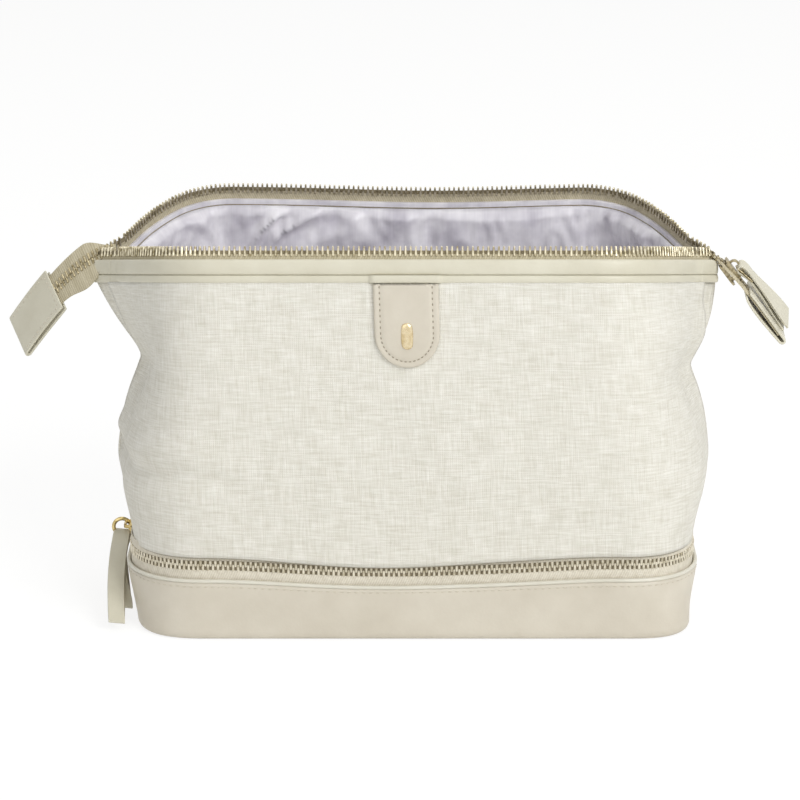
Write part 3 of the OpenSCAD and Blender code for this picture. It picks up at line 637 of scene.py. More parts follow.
@dataclass(frozen=True)
class BagShape:
    """Outlines of the base and the mouth, and the soft wall between them, in millimetres and radians."""

    base_l: float = 286.0
    base_d: float = 134.0
    base_r: float = 40.0
    canvas_z: float = 41.5
    rim_straight: float = 88.0
    rim_w: float = 70.0
    rim_r1: float = 42.0
    rim_r2: float = 110.0
    turn1: float = math.radians(50)
    turn2: float = math.radians(66)
    tilt: float = math.radians(15)
    end_z: float = 174.883
    under: float = -11.0
    sway: float = -4.0
    flare: float = 5.0
    belly: float = 3.0
    side_full: float = 2.0
    leg_stop: float = 14.0
    tuck: float = 2.0
    wall_h: float = 132.0
    flare_run: float = 17.8
    wave_full: float = 28.0
    side_from: float = 0.56
    side_run: float = 0.36
    flare_from: float = 0.86
    zip_waves: tuple[tuple[float, float, float], ...] = ((2.2, 98, 40), (1.8, -100, 40), (-1.7, -14, 48))
    rear_sag: tuple[float, float, float] = (2.4, 15, 62)

    @property
    def base_a(self) -> float:
        """Half of the base's straight front."""
        return self.base_l / 2 - self.base_r

    @property
    def base_b(self) -> float:
        """Half of the base's straight side."""
        return self.base_d / 2 - self.base_r

    @property
    def base_arc(self) -> float:
        """Length of a corner of the base."""
        return math.pi * self.base_r / 2

    @property
    def base_len(self) -> float:
        """Length of a quarter of the base's outline."""
        return self.base_a + self.base_arc + self.base_b

    @property
    def rim_len(self) -> float:
        """Length of the rim from its front middle to a zip end.

        Returns:
            The length in millimetres.
        """
        low = self.rim_w - self.rim_r1 * (1 - math.cos(self.turn1))
        low += self.rim_r2 * (math.cos(self.turn2) - math.cos(self.turn1))
        return (self.rim_straight + self.rim_r1 * self.turn1
                + self.rim_r2 * (self.turn2 - self.turn1) + low / math.sin(self.turn2))

    @property
    def rim_end(self) -> float:
        """Length of the rim from its front middle to the end of a bail's leg."""
        return self.rim_len - self.leg_stop / math.sin(self.turn2)

    def base_at(self, s: float) -> tuple[float, float, float, float]:
        """Point and outward normal of the base outline at a length from the front middle.

        Args:
            s: Length in millimetres.

        Returns:
            Distance along the bag, distance across it, and both parts of the normal.
        """
        if s <= self.base_a:
            return s, self.base_d / 2, 0.0, 1.0
        if s <= self.base_a + self.base_arc:
            g = (s - self.base_a) / self.base_r
            return (self.base_a + self.base_r * math.sin(g), self.base_b + self.base_r * math.cos(g),
                    math.sin(g), math.cos(g))
        return self.base_l / 2, self.base_b - (s - self.base_a - self.base_arc), 1.0, 0.0

    def wave(self, t: float) -> float:
        """Rise of the lower zip, which sags between the front corners, at a share of the way round."""
        s = (t % 1.0 if t % 1.0 < 0.5 else t % 1.0 - 1) * 4 * self.base_len
        return sum(rise * hump(s, middle, spread) for rise, middle, spread in self.zip_waves)

    def loop_at(self, t: float, inset: float, z: float) -> Vector:
        """Point round the whole base, set in by a depth.

        Args:
            t: Share of the way round, from the front middle to the right.
            inset: Depth inside the outline.
            z: Height of the point.

        Returns:
            The point in millimetres.
        """
        quarter, part = divmod((t % 1.0) * 4, 1.0)
        z += self.wave(t) * min(1.0, (max(0.0, z) / self.wave_full) ** 2)
        back = quarter in (1, 3)
        x, w, nx, nw = self.base_at((1 - part if back else part) * self.base_len)
        sx = 1 if quarter < 2 else -1
        sy = -1 if quarter in (0, 3) else 1
        tuck = self.tuck * nx * nx if sx > 0 else 0.0
        return Vector((sx * (x - inset * nx - tuck), sy * (w - inset * nw), z))

    def rim_at(self, s: float) -> tuple[float, float, float, float]:
        """Point and outward normal of the rim in a bail's plane at a length from the front middle.

        Args:
            s: Length in millimetres.

        Returns:
            Distance along the bag, distance across it, and both parts of the normal.
        """
        a1, a2 = self.rim_r1 * self.turn1, self.rim_r2 * (self.turn2 - self.turn1)
        x1 = self.rim_straight + self.rim_r1 * math.sin(self.turn1)
        w1 = self.rim_w - self.rim_r1 * (1 - math.cos(self.turn1))
        if s <= self.rim_straight:
            return s, self.rim_w, 0.0, 1.0
        if s <= self.rim_straight + a1:
            g = (s - self.rim_straight) / self.rim_r1
            return (self.rim_straight + self.rim_r1 * math.sin(g),
                    self.rim_w - self.rim_r1 * (1 - math.cos(g)), math.sin(g), math.cos(g))
        k = s - self.rim_straight - a1
        g = self.turn1 + min(k, a2) / self.rim_r2
        x2 = x1 + self.rim_r2 * (math.sin(g) - math.sin(self.turn1))
        w2 = w1 + self.rim_r2 * (math.cos(g) - math.cos(self.turn1))
        k = max(0.0, k - a2)
        return x2 + k * math.cos(g), w2 - k * math.sin(g), math.sin(g), math.cos(g)

    def sag(self, x: float, face: Face) -> float:
        """Drop of the rear rim's slack middle."""
        depth, middle, spread = self.rear_sag
        return depth * hump(x, middle, spread) if face is Face.REAR else 0.0

    def bail(self, x: float, w: float, n: float, face: Face) -> Vector:
        """Point in the frame of a bail.

        Args:
            x: Distance along the bag from the middle of the mouth.
            w: Distance from the zip ends along the bail.
            n: Height over the bail's plane.
            face: Half of the bag.

        Returns:
            The point in millimetres.
        """
        n -= self.sag(x, face)
        y = w * math.cos(self.tilt) - n * math.sin(self.tilt)
        z = self.end_z + w * math.sin(self.tilt) + n * math.cos(self.tilt)
        return Vector((x + self.sway, face.value * y, z))

    def fold(self, v: float, end: End) -> float:
        """Depth of the fold in a side at a share of the wall's height.

        Args:
            v: Share of the height.
            end: End of the mouth over that side.

        Returns:
            The depth in millimetres.
        """
        fold = FOLDS[end]
        reach, form = fold.over if v > fold.at else fold.under
        shape = fold.depth * math.exp(-((abs(v - fold.at) / reach) ** form))
        # the fold runs out at the band, and the hem is drawn in a little
        return shape * (1 - v ** 16) + 2.6 * hump(v, 0.0, 0.17)

    def crease(self, u: float, v: float, face: Face) -> float:
        """Outward push of the loose folds in the canvas.

        Args:
            u: Share of the way from the front middle to a side middle, negative on the left.
            v: Share of the wall's height.
            face: Half of the bag.

        Returns:
            The push in millimetres.
        """
        seed = 3.7 if face is Face.FRONT else 11.2
        push = 0.9 * wobble(u * 5, v * 2.6, seed) + 0.35 * wobble(u * 13, v * 6, seed + 5)
        if face is Face.FRONT:
            # a slanting crease low on the left, and a bulge under the band on the right
            reach = smooth((-0.34 - u) / 0.3)
            line = 0.315 - 0.06 * (u + 0.85)
            push += reach * (1.7 * hump(v, line + 0.085, 0.05) - 2.6 * hump(v, line, 0.04))
            reach = smooth((u - 0.36) / 0.3)
            push += reach * (1.5 * hump(v, 0.79, 0.07) - 1.5 * hump(v, 0.925, 0.03))
        return push * math.sin(math.pi * min(1.0, max(0.0, v))) ** 0.5

    def wall(self, u: float, v: float, depth: float, face: Face) -> Vector:
        """Point of the soft wall.

        Args:
            u: Share of the way from the front middle to a side middle, negative on the left.
            v: Share of the height from the lower edge of the canvas to the band.
            depth: Distance inside the outer face.
            face: Half of the bag.

        Returns:
            The point in millimetres.
        """
        a, sx = abs(u), math.copysign(1, u)
        bx, bw, bnx, bnw = self.base_at(a * self.base_len)
        rx, rw, rnx, rnw = self.rim_at(a * self.rim_len)
        side = smooth((a - self.side_from) / self.side_run)
        push = self.belly * math.sin(math.pi * v) + self.crease(u, v, face)
        push += side * (self.side_full * math.sin(math.pi * min(1.0, v / 0.62)) + 2.0 * hump(v, 0.23, 0.12)
                        - self.fold(v, End.LEFT if u < 0 else End.RIGHT))
        run = rw - depth * rnw
        lean = self.under * math.sin(self.tilt) * min(1.0, (1 - a) / 0.08)
        flare = self.flare * max(0.0, (a - self.flare_from) / (1 - self.flare_from)) ** 1.4
        x = sx * (lerp(bx - depth * bnx, rx + flare - depth * rnx, v) + push * bnx) + self.sway * v
        w = lerp(bw - depth * bnw, run * math.cos(self.tilt) - lean, v) + push * bnw
        z = lerp(self.canvas_z, self.end_z + run * math.sin(self.tilt) + self.under * math.cos(self.tilt), v)
        # in front the hem follows the lower zip's wave and sags at its middle
        if face is Face.FRONT:
            z += (0.84 * self.wave(u / 4) - 2.4 * hump(u, -0.08, 0.28)) * (1 - v) ** 6
        x -= self.tuck * bnx * bnx * (1 - v) ** 4 if u > 0 else 0.0
        z -= self.sag(sx * rx, face) * v ** 3
        return Vector((x, face.value * w, z))

    def wall_uv(self, u: float, v: float) -> tuple[float, float]:
        """Lengths along and up the wall, for a weave that follows it."""
        return u * self.base_len, v * self.wall_h


SHAPE = BagShape()
# heights in metres between which the wall would bend from the bag to a bail; they are handed on but not used
BEND = (0.114, 0.171)
# depth inside the band's face and height over the bail's plane
BAND_PROFILE = ((0.9, 0.1), (0.35, -0.1), (0.0, -0.6), (-0.25, -1.9), (-0.4, -3.8), (-0.3, -5.6),
                (-0.05, -6.7), (0.3, -7.15), (0.9, -7.3), (1.8, -7.3), (2.0, -6.6), (2.0, -0.8), (1.6, -0.05))
WELT_PROFILE = ((0.7, -7.4), (0.1, -7.55), (-0.3, -8.1), (-0.4, -9.1), (-0.3, -10.2), (0.0, -10.9),
                (0.6, -11.2), (1.9, -11.2), (1.9, -7.4))


@dataclass
class Tray:
    """Leather tray of the lower compartment with its rolled edge, stitching and lining."""

    top: float = 27.8
    roll: float = 1.0
    roll_in: float = 0.72
    roll_up: float = 0.95
    wall_t: float = 1.6
    sole_t: float = 1.5
    lining_t: float = 0.6
    stitch_z: float = 26.1
    stitch_step: float = 3.5
    around: int = 240
    drawn: float = 5.05
    drawn_side: float = 5.6
    square_right: float = 24.0
    square_left: float = 15.0
    stitch_row: int = 13
    profile: tuple[tuple[float, float], ...] = (
        (9.0, 0.3), (7.4, 0.2), (6.3, 0.35), (5.6, 0.95), (5.05, 2.2), (4.6, 4.3), (3.9, 7.3), (3.1, 10.5),
        (2.35, 13.6), (1.65, 17.0), (1.0, 20.4), (0.5, 23.2), (0.25, 24.9), (0.1, 26.3), (0.0, 27.8))

    def inset(self, t: float, row: int) -> float:
        """Depth of the wall inside the outline: upright in front, squarer at corners, drawn in at the sides.

        Args:
            t: Share of the way round.
            row: Row of the profile.

        Returns:
            The depth in millimetres.
        """
        depth, z = self.profile[row]
        part = abs(((t * 4) % 2.0) - 1)
        _, _, nx, nw = SHAPE.base_at((1 - part) * SHAPE.base_len)
        share = min(1.0, depth / self.drawn)
        square = self.square_right if t % 1.0 < 0.5 else self.square_left
        drawn = share * (self.drawn_side * nx * nx - 0.2 * nw * nw - square * (nx * nw) ** 2)
        return drawn + max(0.0, depth - self.drawn) - self.soft(t, z)

    def soft(self, t: float, z: float) -> float:
        """Small unevenness of the leather wall."""
        ring = Vector((math.cos(2 * math.pi * t), math.sin(2 * math.pi * t), z / 30))
        return 0.45 * noise.noise(ring * 2.6) * math.sin(math.pi * min(1.0, z / self.top))

    def build(self) -> None:
        """Makes the wall, the rolled edge, the stitches, the lining and the underside."""
        turns = steps(0.0, 1.0, self.around + 1)
        bm = grid(turns, list(range(len(self.profile))),
                  lambda t, i: SHAPE.loop_at(t, self.inset(t, int(i)), self.profile[int(i)][1]))
        weld(bm, turn=False)
        wall = make_piece("tray_wall", bm, HIDE)
        thicken(wall, self.wall_t)
        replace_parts(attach(wall, "base"), "base_wall")
        arc = round_profile((self.roll_in, self.top + self.roll_up), (-1.05 * self.roll, self.roll), 10)
        edge = make_piece("tray_rolled_edge", tube(turns, arc, SHAPE.loop_at, True), PALE_HIDE)
        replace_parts(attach(edge, "base"), "base_roll")
        self.sew()
        self.line()
        self.under(turns)
        dress("base_board", BOARD)

    def under(self, turns: list[float]) -> None:
        """Makes the leather underside on which the bag stands.

        Args:
            turns: Shares of the way round.
        """
        bm = grid(turns, [6.2, 12.0, 22.0, 35.0], lambda t, d: SHAPE.loop_at(t, d, 0.0))
        weld(bm, lambda edge: abs(edge.verts[0].co.y) < 0.04)
        bmesh.ops.reverse_faces(bm, faces=[f for f in bm.faces if f.normal.z > 0])
        sole = make_piece("tray_underside", bm, HIDE)
        thicken(sole, self.sole_t)
        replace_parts(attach(sole, "base"), "base_bottom")

    def sew(self) -> None:
        """Makes the row of stitches under the rolled edge."""
        count = round(4 * SHAPE.base_len / self.stitch_step)
        places = []
        for i in range(count):
            t = i / count
            middle = SHAPE.loop_at(t, self.inset(t, self.stitch_row) - 0.05, self.stitch_z)
            along = SHAPE.loop_at(t + 0.001, 0, 0) - SHAPE.loop_at(t - 0.001, 0, 0)
            places.append((middle, along, along.cross(Vector((0, 0, 1)))))
        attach(make_piece("tray_stitches", stitches(places), THREAD), "base")

    def line(self) -> None:
        """Makes the satin lining that lies in the tray."""
        rows = ((3.15, 26.5), (3.2, 22.5), (4.1, 17.0), (6.0, 10.0), (8.0, 6.2), (12.0, 5.2), (22.0, 5.2),
                (38.0, 5.2))

        def place(t: float, i: float) -> Vector:
            """Point of the lining at a share of the way round, in one of the rows."""
            depth, z = rows[int(i)]
            return SHAPE.loop_at(t, depth + 0.5 * abs(wobble(t * 30, i, 2.0)), z)

        bm = grid(steps(0.0, 1.0, LINING_COLUMNS), list(range(len(rows))), place, flip=True,
                  uv=lambda t, i: flat_uv(place(t, i)))
        weld(bm, lambda edge: edge.verts[0].co.z < 0.01, turn=False)
        lining = make_piece("tray_lining", bm, SATIN)
        thicken(lining, self.lining_t)
        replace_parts(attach(lining, "base"), "base_lining")


@dataclass
class LowerZip:
    """Zip between the tray and the upper body, closed at rest: two tapes and two meshed rows of teeth."""

    middle: float = 36.5
    inset: float = 2.4
    foot_off: float = 2.6
    low: float = 24.0
    high: float = 43.2
    half: float = 217.8
    spare: float = 1.5
    hinge_t: float = 0.7
    tooth: Tooth = Tooth(1.25, 3.2, 1.9, 0.8)

    def at(self, s: float, inset: float, z: float) -> Vector:
        """Point on the zip at a signed length from the front middle."""
        return SHAPE.loop_at(s / (4 * SHAPE.base_len), inset, z)

    def build(self) -> None:
        """Makes both tapes, the dark strips along them that are painted shade between the teeth, both rows of
        teeth and the hinge strip behind.
        """
        columns = steps(-self.half - self.spare, self.half + self.spare, 190)
        for name, body, low, high, node in (
                ("tray_zip_tape", "base", self.low, 34.1, "base_zip_tape"),
                ("bag_zip_tape_cloth", "bag", 38.9, self.high, "bag_zip_tape")):
            bm = tube(columns, flat_profile(2.05, 2.75, low, high), self.at)
            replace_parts(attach(make_piece(name, bm, PALE_TAPE, TAPE_SHARP), body), node)
        # dark strips behind the teeth: painted shade in the gaps between them
        for name, body, low, high in (("tray_zip_bed_painted_shade", "base", 34.1, 36.4),
                                      ("bag_zip_bed_painted_shade", "bag", 36.6, 38.9)):
            bm = tube(columns, flat_profile(2.0, 2.8, low, high), self.at)
            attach(make_piece(name, bm, CHAIN_BED_SHADE, TAPE_SHARP), body)
        count = int((self.half - 2) / TOOTH_PITCH)
        for name, body, way, shift, node in (("tray_zip_teeth", "base", 1, 0.0, "base_zip_teeth"),
                                             ("bag_zip_teeth_row", "bag", -1, 0.5, "bag_zip_teeth")):
            places = []
            for i in range(-count, count):
                s = (i + shift) * TOOTH_PITCH
                foot = self.at(s, self.inset, self.middle - way * self.foot_off)
                places.append((foot, self.at(s + 1, 0, 0) - self.at(s - 1, 0, 0), Vector((0, 0, way))))
            bm = self.tooth.row(places)
            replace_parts(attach(make_piece(name, bm, PALE_TEETH, TOOTH_SHARP), body), node)
        dress("base_zip_stops", PALE_TEETH)
        self.hinge()

    def hinge(self) -> None:
        """Makes the leather strip behind, on which the upper body tips back."""
        reach = 2 * SHAPE.base_len - self.half - self.spare + 0.2
        bm = grid(steps(-reach, reach, 110), steps(self.low, self.high, 14), lambda s, z: SHAPE.loop_at(
            0.5 - s / (4 * SHAPE.base_len), 2.0 - 0.9 * hump(z, self.middle, 3.0), z), flip=True)
        strip = make_piece("rear_hinge_strip", bm, HIDE)
        thicken(strip, self.hinge_t)
        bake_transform(strip)
        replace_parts(strip, "base_hinge_leaf", "bag_hinge_leaf")


@dataclass
class UpperBody:
    """Linen body of the bag with dark cords of painted shadow under its hems, side strips, satin lining and
    floor.
    """

    canvas_t: float = 1.2
    lining_t: float = 0.5
    floor_t: float = 0.6
    lining_in: float = 3.4
    lining_top: float = 1.0455
    facing_in: float = 5.1
    linen_end: float = 0.995
    lining_end: float = 0.945
    side_share: float = 0.155
    corner_cut: float = 0.058
    side_half: float = 22.0
    floor_z: float = 42.5
    floor_edge: float = 3.0
    floor_reach: float = 38.0
    floor_close: float = 67.0

    def follow(self, obj: bpy.types.Object, face: Face) -> bpy.types.Object:
        """Bakes a piece of the wall in place; the heights of the bend from the bag to a bail are handed on
        but not used.
        """
        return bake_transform(obj, "bag", face.body, (0, 0, BEND[0]), (0, 0, BEND[1]))

    def drawn(self, u: float, v: float) -> float:
        """Draws the upper corners of a half back from the zip end, so they stay in when the mouth closes."""
        return u * (1 - self.corner_cut * smooth((abs(u) - 0.8) / 0.2) * smooth((v - 0.66) / 0.33))

    def build(self) -> None:
        """Makes all pieces of the body."""
        for face in Face:
            node = "canvas_front" if face is Face.FRONT else "canvas_back"
            bm = grid(steps(-self.linen_end, self.linen_end, 168), steps(0, 1, 60),
                      lambda u, v, f=face: SHAPE.wall(self.drawn(u, v), v, 0.0, f), face is Face.REAR,
                      lambda u, v: SHAPE.wall_uv(self.drawn(u, v), v))
            cloth = make_piece(f"linen_{face.word}", bm, LINEN)
            thicken(cloth, self.canvas_t)
            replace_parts(self.follow(cloth, face), node)
            self.hem(face)
            self.line(face)
        for end in End:
            self.side(end)
        self.floor()

    def hem(self, face: Face) -> None:
        """Makes a dark cord under the turned lower edge of the linen, as painted shadow of the hem.

        Args:
            face: Half of the bag.
        """
        ring = round_profile((0.75, -0.15), (0.5, 0.5), 6)
        # in front the painted shadow cord ends short of the lower slider's way
        first = -0.86 if face is Face.FRONT else -0.98
        bm = tube(steps(first, 0.98, 140), ring,
                  lambda u, d, z: SHAPE.wall(u, 0.0, d, face) + Vector((0, 0, z)))
        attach(make_piece(f"hem_cord_{face.word}", bm, THREAD_IN_PAINTED_SHADE), "bag")

    def side(self, end: End) -> None:
        """Makes the linen strip that closes one side, pinched in by its fold, and its lining.

        Args:
            end: End of the mouth over that side.
        """
        strips = []
        for name, finish, depth, thick, top in (("linen", LINEN, 1.35, self.canvas_t, 1.0),
                                                ("satin", SATIN, 2.8, self.lining_t, self.lining_top)):
            def place(c: float, v: float, depth: float = depth) -> Vector:
                """Point of a strip, which rises upright over the wall's top.

                Args:
                    c: Share of the way across, from -1 in front to 1 behind.
                    v: Share of the wall's height.
                    depth: Distance inside the outer face.

                Returns:
                    The point in millimetres.
                """
                a = 1 - abs(c) * self.side_share
                point = SHAPE.wall(end.value * a, min(v, 1.0), depth, Face.FRONT if c < 0 else Face.REAR)
                return point + Vector((0, 0, max(0.0, v - 1.0) * SHAPE.wall_h))

            bm = grid(steps(-1, 1, 25), steps(0.0, top, 58), place, end is End.LEFT,
                      lambda c, v: (c * self.side_half, v * SHAPE.wall_h))
            strip = make_piece(f"{name}_side_{end.word}", bm, finish)
            thicken(strip, thick)
            strips.append(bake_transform(strip))
        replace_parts(strips[0], f"gusset_{end.word}")

    def slack(self, u: float, v: float, face: Face) -> float:
        """Inward slack of the lining, gathered in uneven folds.

        Args:
            u: Share of the way from the front middle to a side middle, negative on the left.
            v: Share of the wall's height.
            face: Half of the bag.

        Returns:
            The slack in millimetres.
        """
        seed = 20.0 + face.value
        # sharp ridges wander up the wall, small ones cross them, and the top hangs over the facing
        drop = max(math.sin(math.pi * min(1.0, v)) ** 0.6,
                   0.75 * smooth((v - 0.7) / 0.1) * smooth((1.1 - v) / 0.1))
        ridge = 1.07 - math.hypot(wobble(u * 9 + 2.2 * wobble(u * 3, v * 3, seed), v * 2.6, seed + 4), 0.07)
        small = 1.09 - math.hypot(wobble(u * 23, v * 7 + u * 4, seed + 9), 0.09)
        collar = 1.9 * smooth((v - 0.86) / 0.13)
        return collar + drop * (6.5 * ridge ** 3 + 2.4 * small ** 4)

    def lining_at(self, u: float, v: float, face: Face) -> Vector:
        """Point of the lining, which runs up over the facing to its seam.

        Args:
            u: Share of the way from the front middle to a side middle, negative on the left.
            v: Share of the wall's height.
            face: Half of the bag.

        Returns:
            The point in millimetres.
        """
        tuck = smooth((v - self.lining_top) / 0.022 + 1)
        depth = lerp(self.lining_in + self.slack(u, v, face), self.facing_in, tuck)
        point = SHAPE.wall(u, min(v, 1.0), depth, face)
        rise = Vector((0, -face.value * math.sin(SHAPE.tilt), math.cos(SHAPE.tilt)))
        return point + rise * max(0.0, v - 1.0) * SHAPE.wall_h

    def line(self, face: Face) -> None:
        """Makes the satin lining of one half.

        Args:
            face: Half of the bag.
        """
        bm = grid(steps(-self.lining_end, self.lining_end, 240), steps(0.012, self.lining_top, 90),
                  lambda u, v: self.lining_at(self.drawn(u, v), v, face), face is Face.REAR,
                  lambda u, v: SHAPE.wall_uv(self.drawn(u, v), v))
        cloth = make_piece(f"satin_{face.word}", bm, SATIN)
        thicken(cloth, self.lining_t)
        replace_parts(self.follow(cloth, face), "lining_front" if face is Face.FRONT else "lining_back")

    def floor(self) -> None:
        """Makes the satin that covers the floor board."""
        rows = [3.2, 6.0, 10.0, 16.0, 24.0, 32.0, self.floor_reach, 46.0, 54.0, 61.0, self.floor_close]

        def place(t: float, d: float) -> Vector:
            """Point of the floor, whose rows close in on its middle.

            Args:
                t: Share of the way round.
                d: Depth of the row inside the outline.

            Returns:
                The point in millimetres.
            """
            inside = d - self.floor_edge
            share = min(1.0, (self.floor_close - d) / (self.floor_close - self.floor_reach))
            lift = 0.5 * wobble(40 * (t % 1.0), d * 0.15, 7.0) * min(1.0, inside / 6) * share
            point = SHAPE.loop_at(t, min(d, self.floor_reach), self.floor_z)
            level = point.z - SHAPE.wave(t) * smooth(inside / 9)
            return Vector((point.x * share, point.y * share, level + lift))

        bm = grid(steps(0.0, 1.0, LINING_COLUMNS), rows, place, uv=lambda t, d: flat_uv(place(t, d)))
        weld(bm)
        cloth = make_piece("satin_floor", bm, SATIN)
        thicken(cloth, self.floor_t)
        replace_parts(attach(cloth, "bag"), "floor_lining")
        dress("floor_board", BOARD)


@dataclass
class RimHalf:
    """Half of the mouth's rim on its bail: leather band, zip tape, a dark strip of painted shade between the
    teeth, teeth, spring and inner facing.
    """

    face: Face
    tape_top: float = 2.5
    zip_in: float = 2.7
    tab_half: float = 15.8
    tab_cover: float = 1.9
    foot_n: float = 1.5
    tip_n: float = 6.5
    tooth: Tooth = Tooth(1.35, 4.9, 2.5, 0.62)

    def at(self, s: float, depth: float, n: float) -> Vector:
        """Point of this half of the rim, spread towards the zip ends.

        Args:
            s: Signed length from the middle of the half.
            depth: Distance inside the band's face.
            n: Height over the bail's plane.

        Returns:
            The point in millimetres.
        """
        x, w, nx, nw = SHAPE.rim_at(abs(s))
        spread = SHAPE.flare * max(0.0, 1 - w / SHAPE.flare_run)
        return SHAPE.bail(math.copysign(1, s) * (x + spread - depth * nx), w - depth * nw, n, self.face)

    def welt_at(self, s: float, depth: float, n: float) -> Vector:
        """Point of the welt, which swells where it covers the top of the front tab.

        Args:
            s: Signed length from the middle of the half.
            depth: Distance inside the band's face.
            n: Height over the bail's plane.

        Returns:
            The point in millimetres.
        """
        covers = self.face is Face.FRONT and depth < 0.8
        over = self.tab_cover * (1 - smooth((abs(s) - self.tab_half) / 1.6)) if covers else 0.0
        return self.at(s, depth - over, n)

    def build(self) -> None:
        """Makes the strips of the rim, the dark lines of painted shadow under the facing and of painted shade
        between the teeth, and the row of teeth.
        """
        word, body, end = self.face.word, self.face.body, SHAPE.rim_end
        columns = steps(-end, end, 150)
        for part, finish, profile in (
                ("band", BAND_HIDE, BAND_PROFILE),
                ("zip_tape", TAPE, [(2.35, -9.6), (2.3, 0.0), (2.3, self.tape_top), (3.1, self.tape_top),
                                    (3.1, 0.0), (3.05, -9.6)]),
                ("facing", SATIN, [(4.2, -10.9), (4.1, -2.6), (3.2, -2.5), (3.2, -2.0), (4.6, -1.9),
                                   (4.9, -2.4), (4.9, -10.9)]),
                ("spring", STEEL, flat_profile(3.4, 4.0, -8.5, -3.2))):
            obj = make_piece(f"{word}_{part}_strip", tube(columns, profile, self.at), finish, STRIP_SHARP)
            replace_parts(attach(obj, body), f"{word}_{part}")
        fine = sorted({*columns, *steps(-18.0, 18.0, 25)})
        bm = tube(fine, WELT_PROFILE, self.welt_at)
        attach(make_piece(f"{word}_welt", bm, BAND_HIDE, STRIP_SHARP), body)
        # a dark line under the facing is painted shadow, and a dark strip behind the teeth is painted shade
        # between them
        for part, finish, profile in (("facing_shadow_line", THREAD_IN_PAINTED_SHADE, flat_profile(4.8, 5.2, -4.9, -4.3)),
                                      ("zip_bed_painted_shade", RIM_CHAIN_BED_SHADE, flat_profile(2.35, 3.05, 2.45, 4.3))):
            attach(make_piece(f"{word}_{part}", tube(columns, profile, self.at), finish, STRIP_SHARP), body)
        places = []
        count = int((end - 1.5) / TOOTH_PITCH)
        for i in range(-count, count + 1):
            s = i * TOOTH_PITCH
            foot, tip = (self.at(s, self.zip_in, n) for n in (self.foot_n, self.tip_n))
            before, after = (self.at(s + k, self.zip_in, 4) for k in (-0.5, 0.5))
            places.append((foot, after - before, tip - foot))
        teeth = make_piece(f"{word}_teeth_row", self.tooth.row(places), TEETH, TOOTH_SHARP)
        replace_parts(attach(teeth, body), f"{word}_zip_teeth")


@dataclass
class ZipEnd:
    """Leather patch that closes the rim at one end of the mouth, with the last of the zip inside it."""

    end: End
    first: float = 16.5
    tip: float = 153.92
    leg_x: float = 149.32
    zip_in: float = 2.6
    teeth: int = 5
    teeth_from: float = 13.2
    teeth_step: float = 2.3
    foot_n: float = 1.5
    tip_n: float = 6.4
    tooth: Tooth = Tooth(1.3, 4.8, 2.4, 0.62)

    def at(self, w: float, depth: float, n: float, face: Face) -> Vector:
        """Point of the patch at a distance from the zip end; its far part lies behind the band.

        Args:
            w: Distance from the zip end along the bail.
            depth: Distance inside the patch's face.
            n: Height over the bail's plane.
            face: Half of the bag.

        Returns:
            The point in millimetres.
        """
        line = self.leg_x - w / math.tan(SHAPE.turn2) + SHAPE.flare * (1 - w / SHAPE.flare_run)
        x = lerp(self.tip - 0.9 * (w / 4) ** 2, line, smooth(w / 4))
        depth += 0.5 * smooth((w - 12.6) / 0.8)
        w = max(w - depth * 0.5 * smooth(w / 4), 0.0)
        return SHAPE.bail(self.end.value * (x - depth * 0.85), w, n, face)

    def build(self) -> None:
        """Makes the patch, its welt, the tape behind it and its few teeth."""
        def sweep(c: float, d: float, n: float) -> Vector:
            """Point of the patch at a share of its length from the zip end, negative in front."""
            return self.at(abs(c) * self.first, d, n, Face.FRONT if c < 0 else Face.REAR)

        word, columns = self.end.word, steps(-1, 1, 61)
        patch = make_piece(f"{word}_patch_soft", tube(columns, BAND_PROFILE, sweep), BAND_HIDE, STRIP_SHARP)
        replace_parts(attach(patch, "zip_ends"), f"end_patch_{word}")
        # the dark cord behind the few teeth is painted shade between them
        for part, finish, profile in (("welt", BAND_HIDE, WELT_PROFILE),
                                      ("tape", TAPE, flat_profile(2.3, 3.0, -9.0, 2.5)),
                                      ("cord", RIM_CHAIN_BED_SHADE, flat_profile(2.35, 2.95, 2.45, 4.3))):
            bm = tube(columns, profile, sweep)
            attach(make_piece(f"{word}_end_{part}", bm, finish, STRIP_SHARP), "zip_ends")
        places = []
        for face in Face:
            for i in range(self.teeth):
                w = self.teeth_from - i * self.teeth_step
                foot, top = (self.at(w, self.zip_in, n, face) for n in (self.foot_n, self.tip_n))
                before, after = (self.at(w + k, self.zip_in, 4, face) for k in (-0.5, 0.5))
                places.append((foot, after - before, top - foot))
        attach(make_piece(f"{word}_end_teeth", self.tooth.row(places), TEETH, TOOTH_SHARP), "zip_ends")


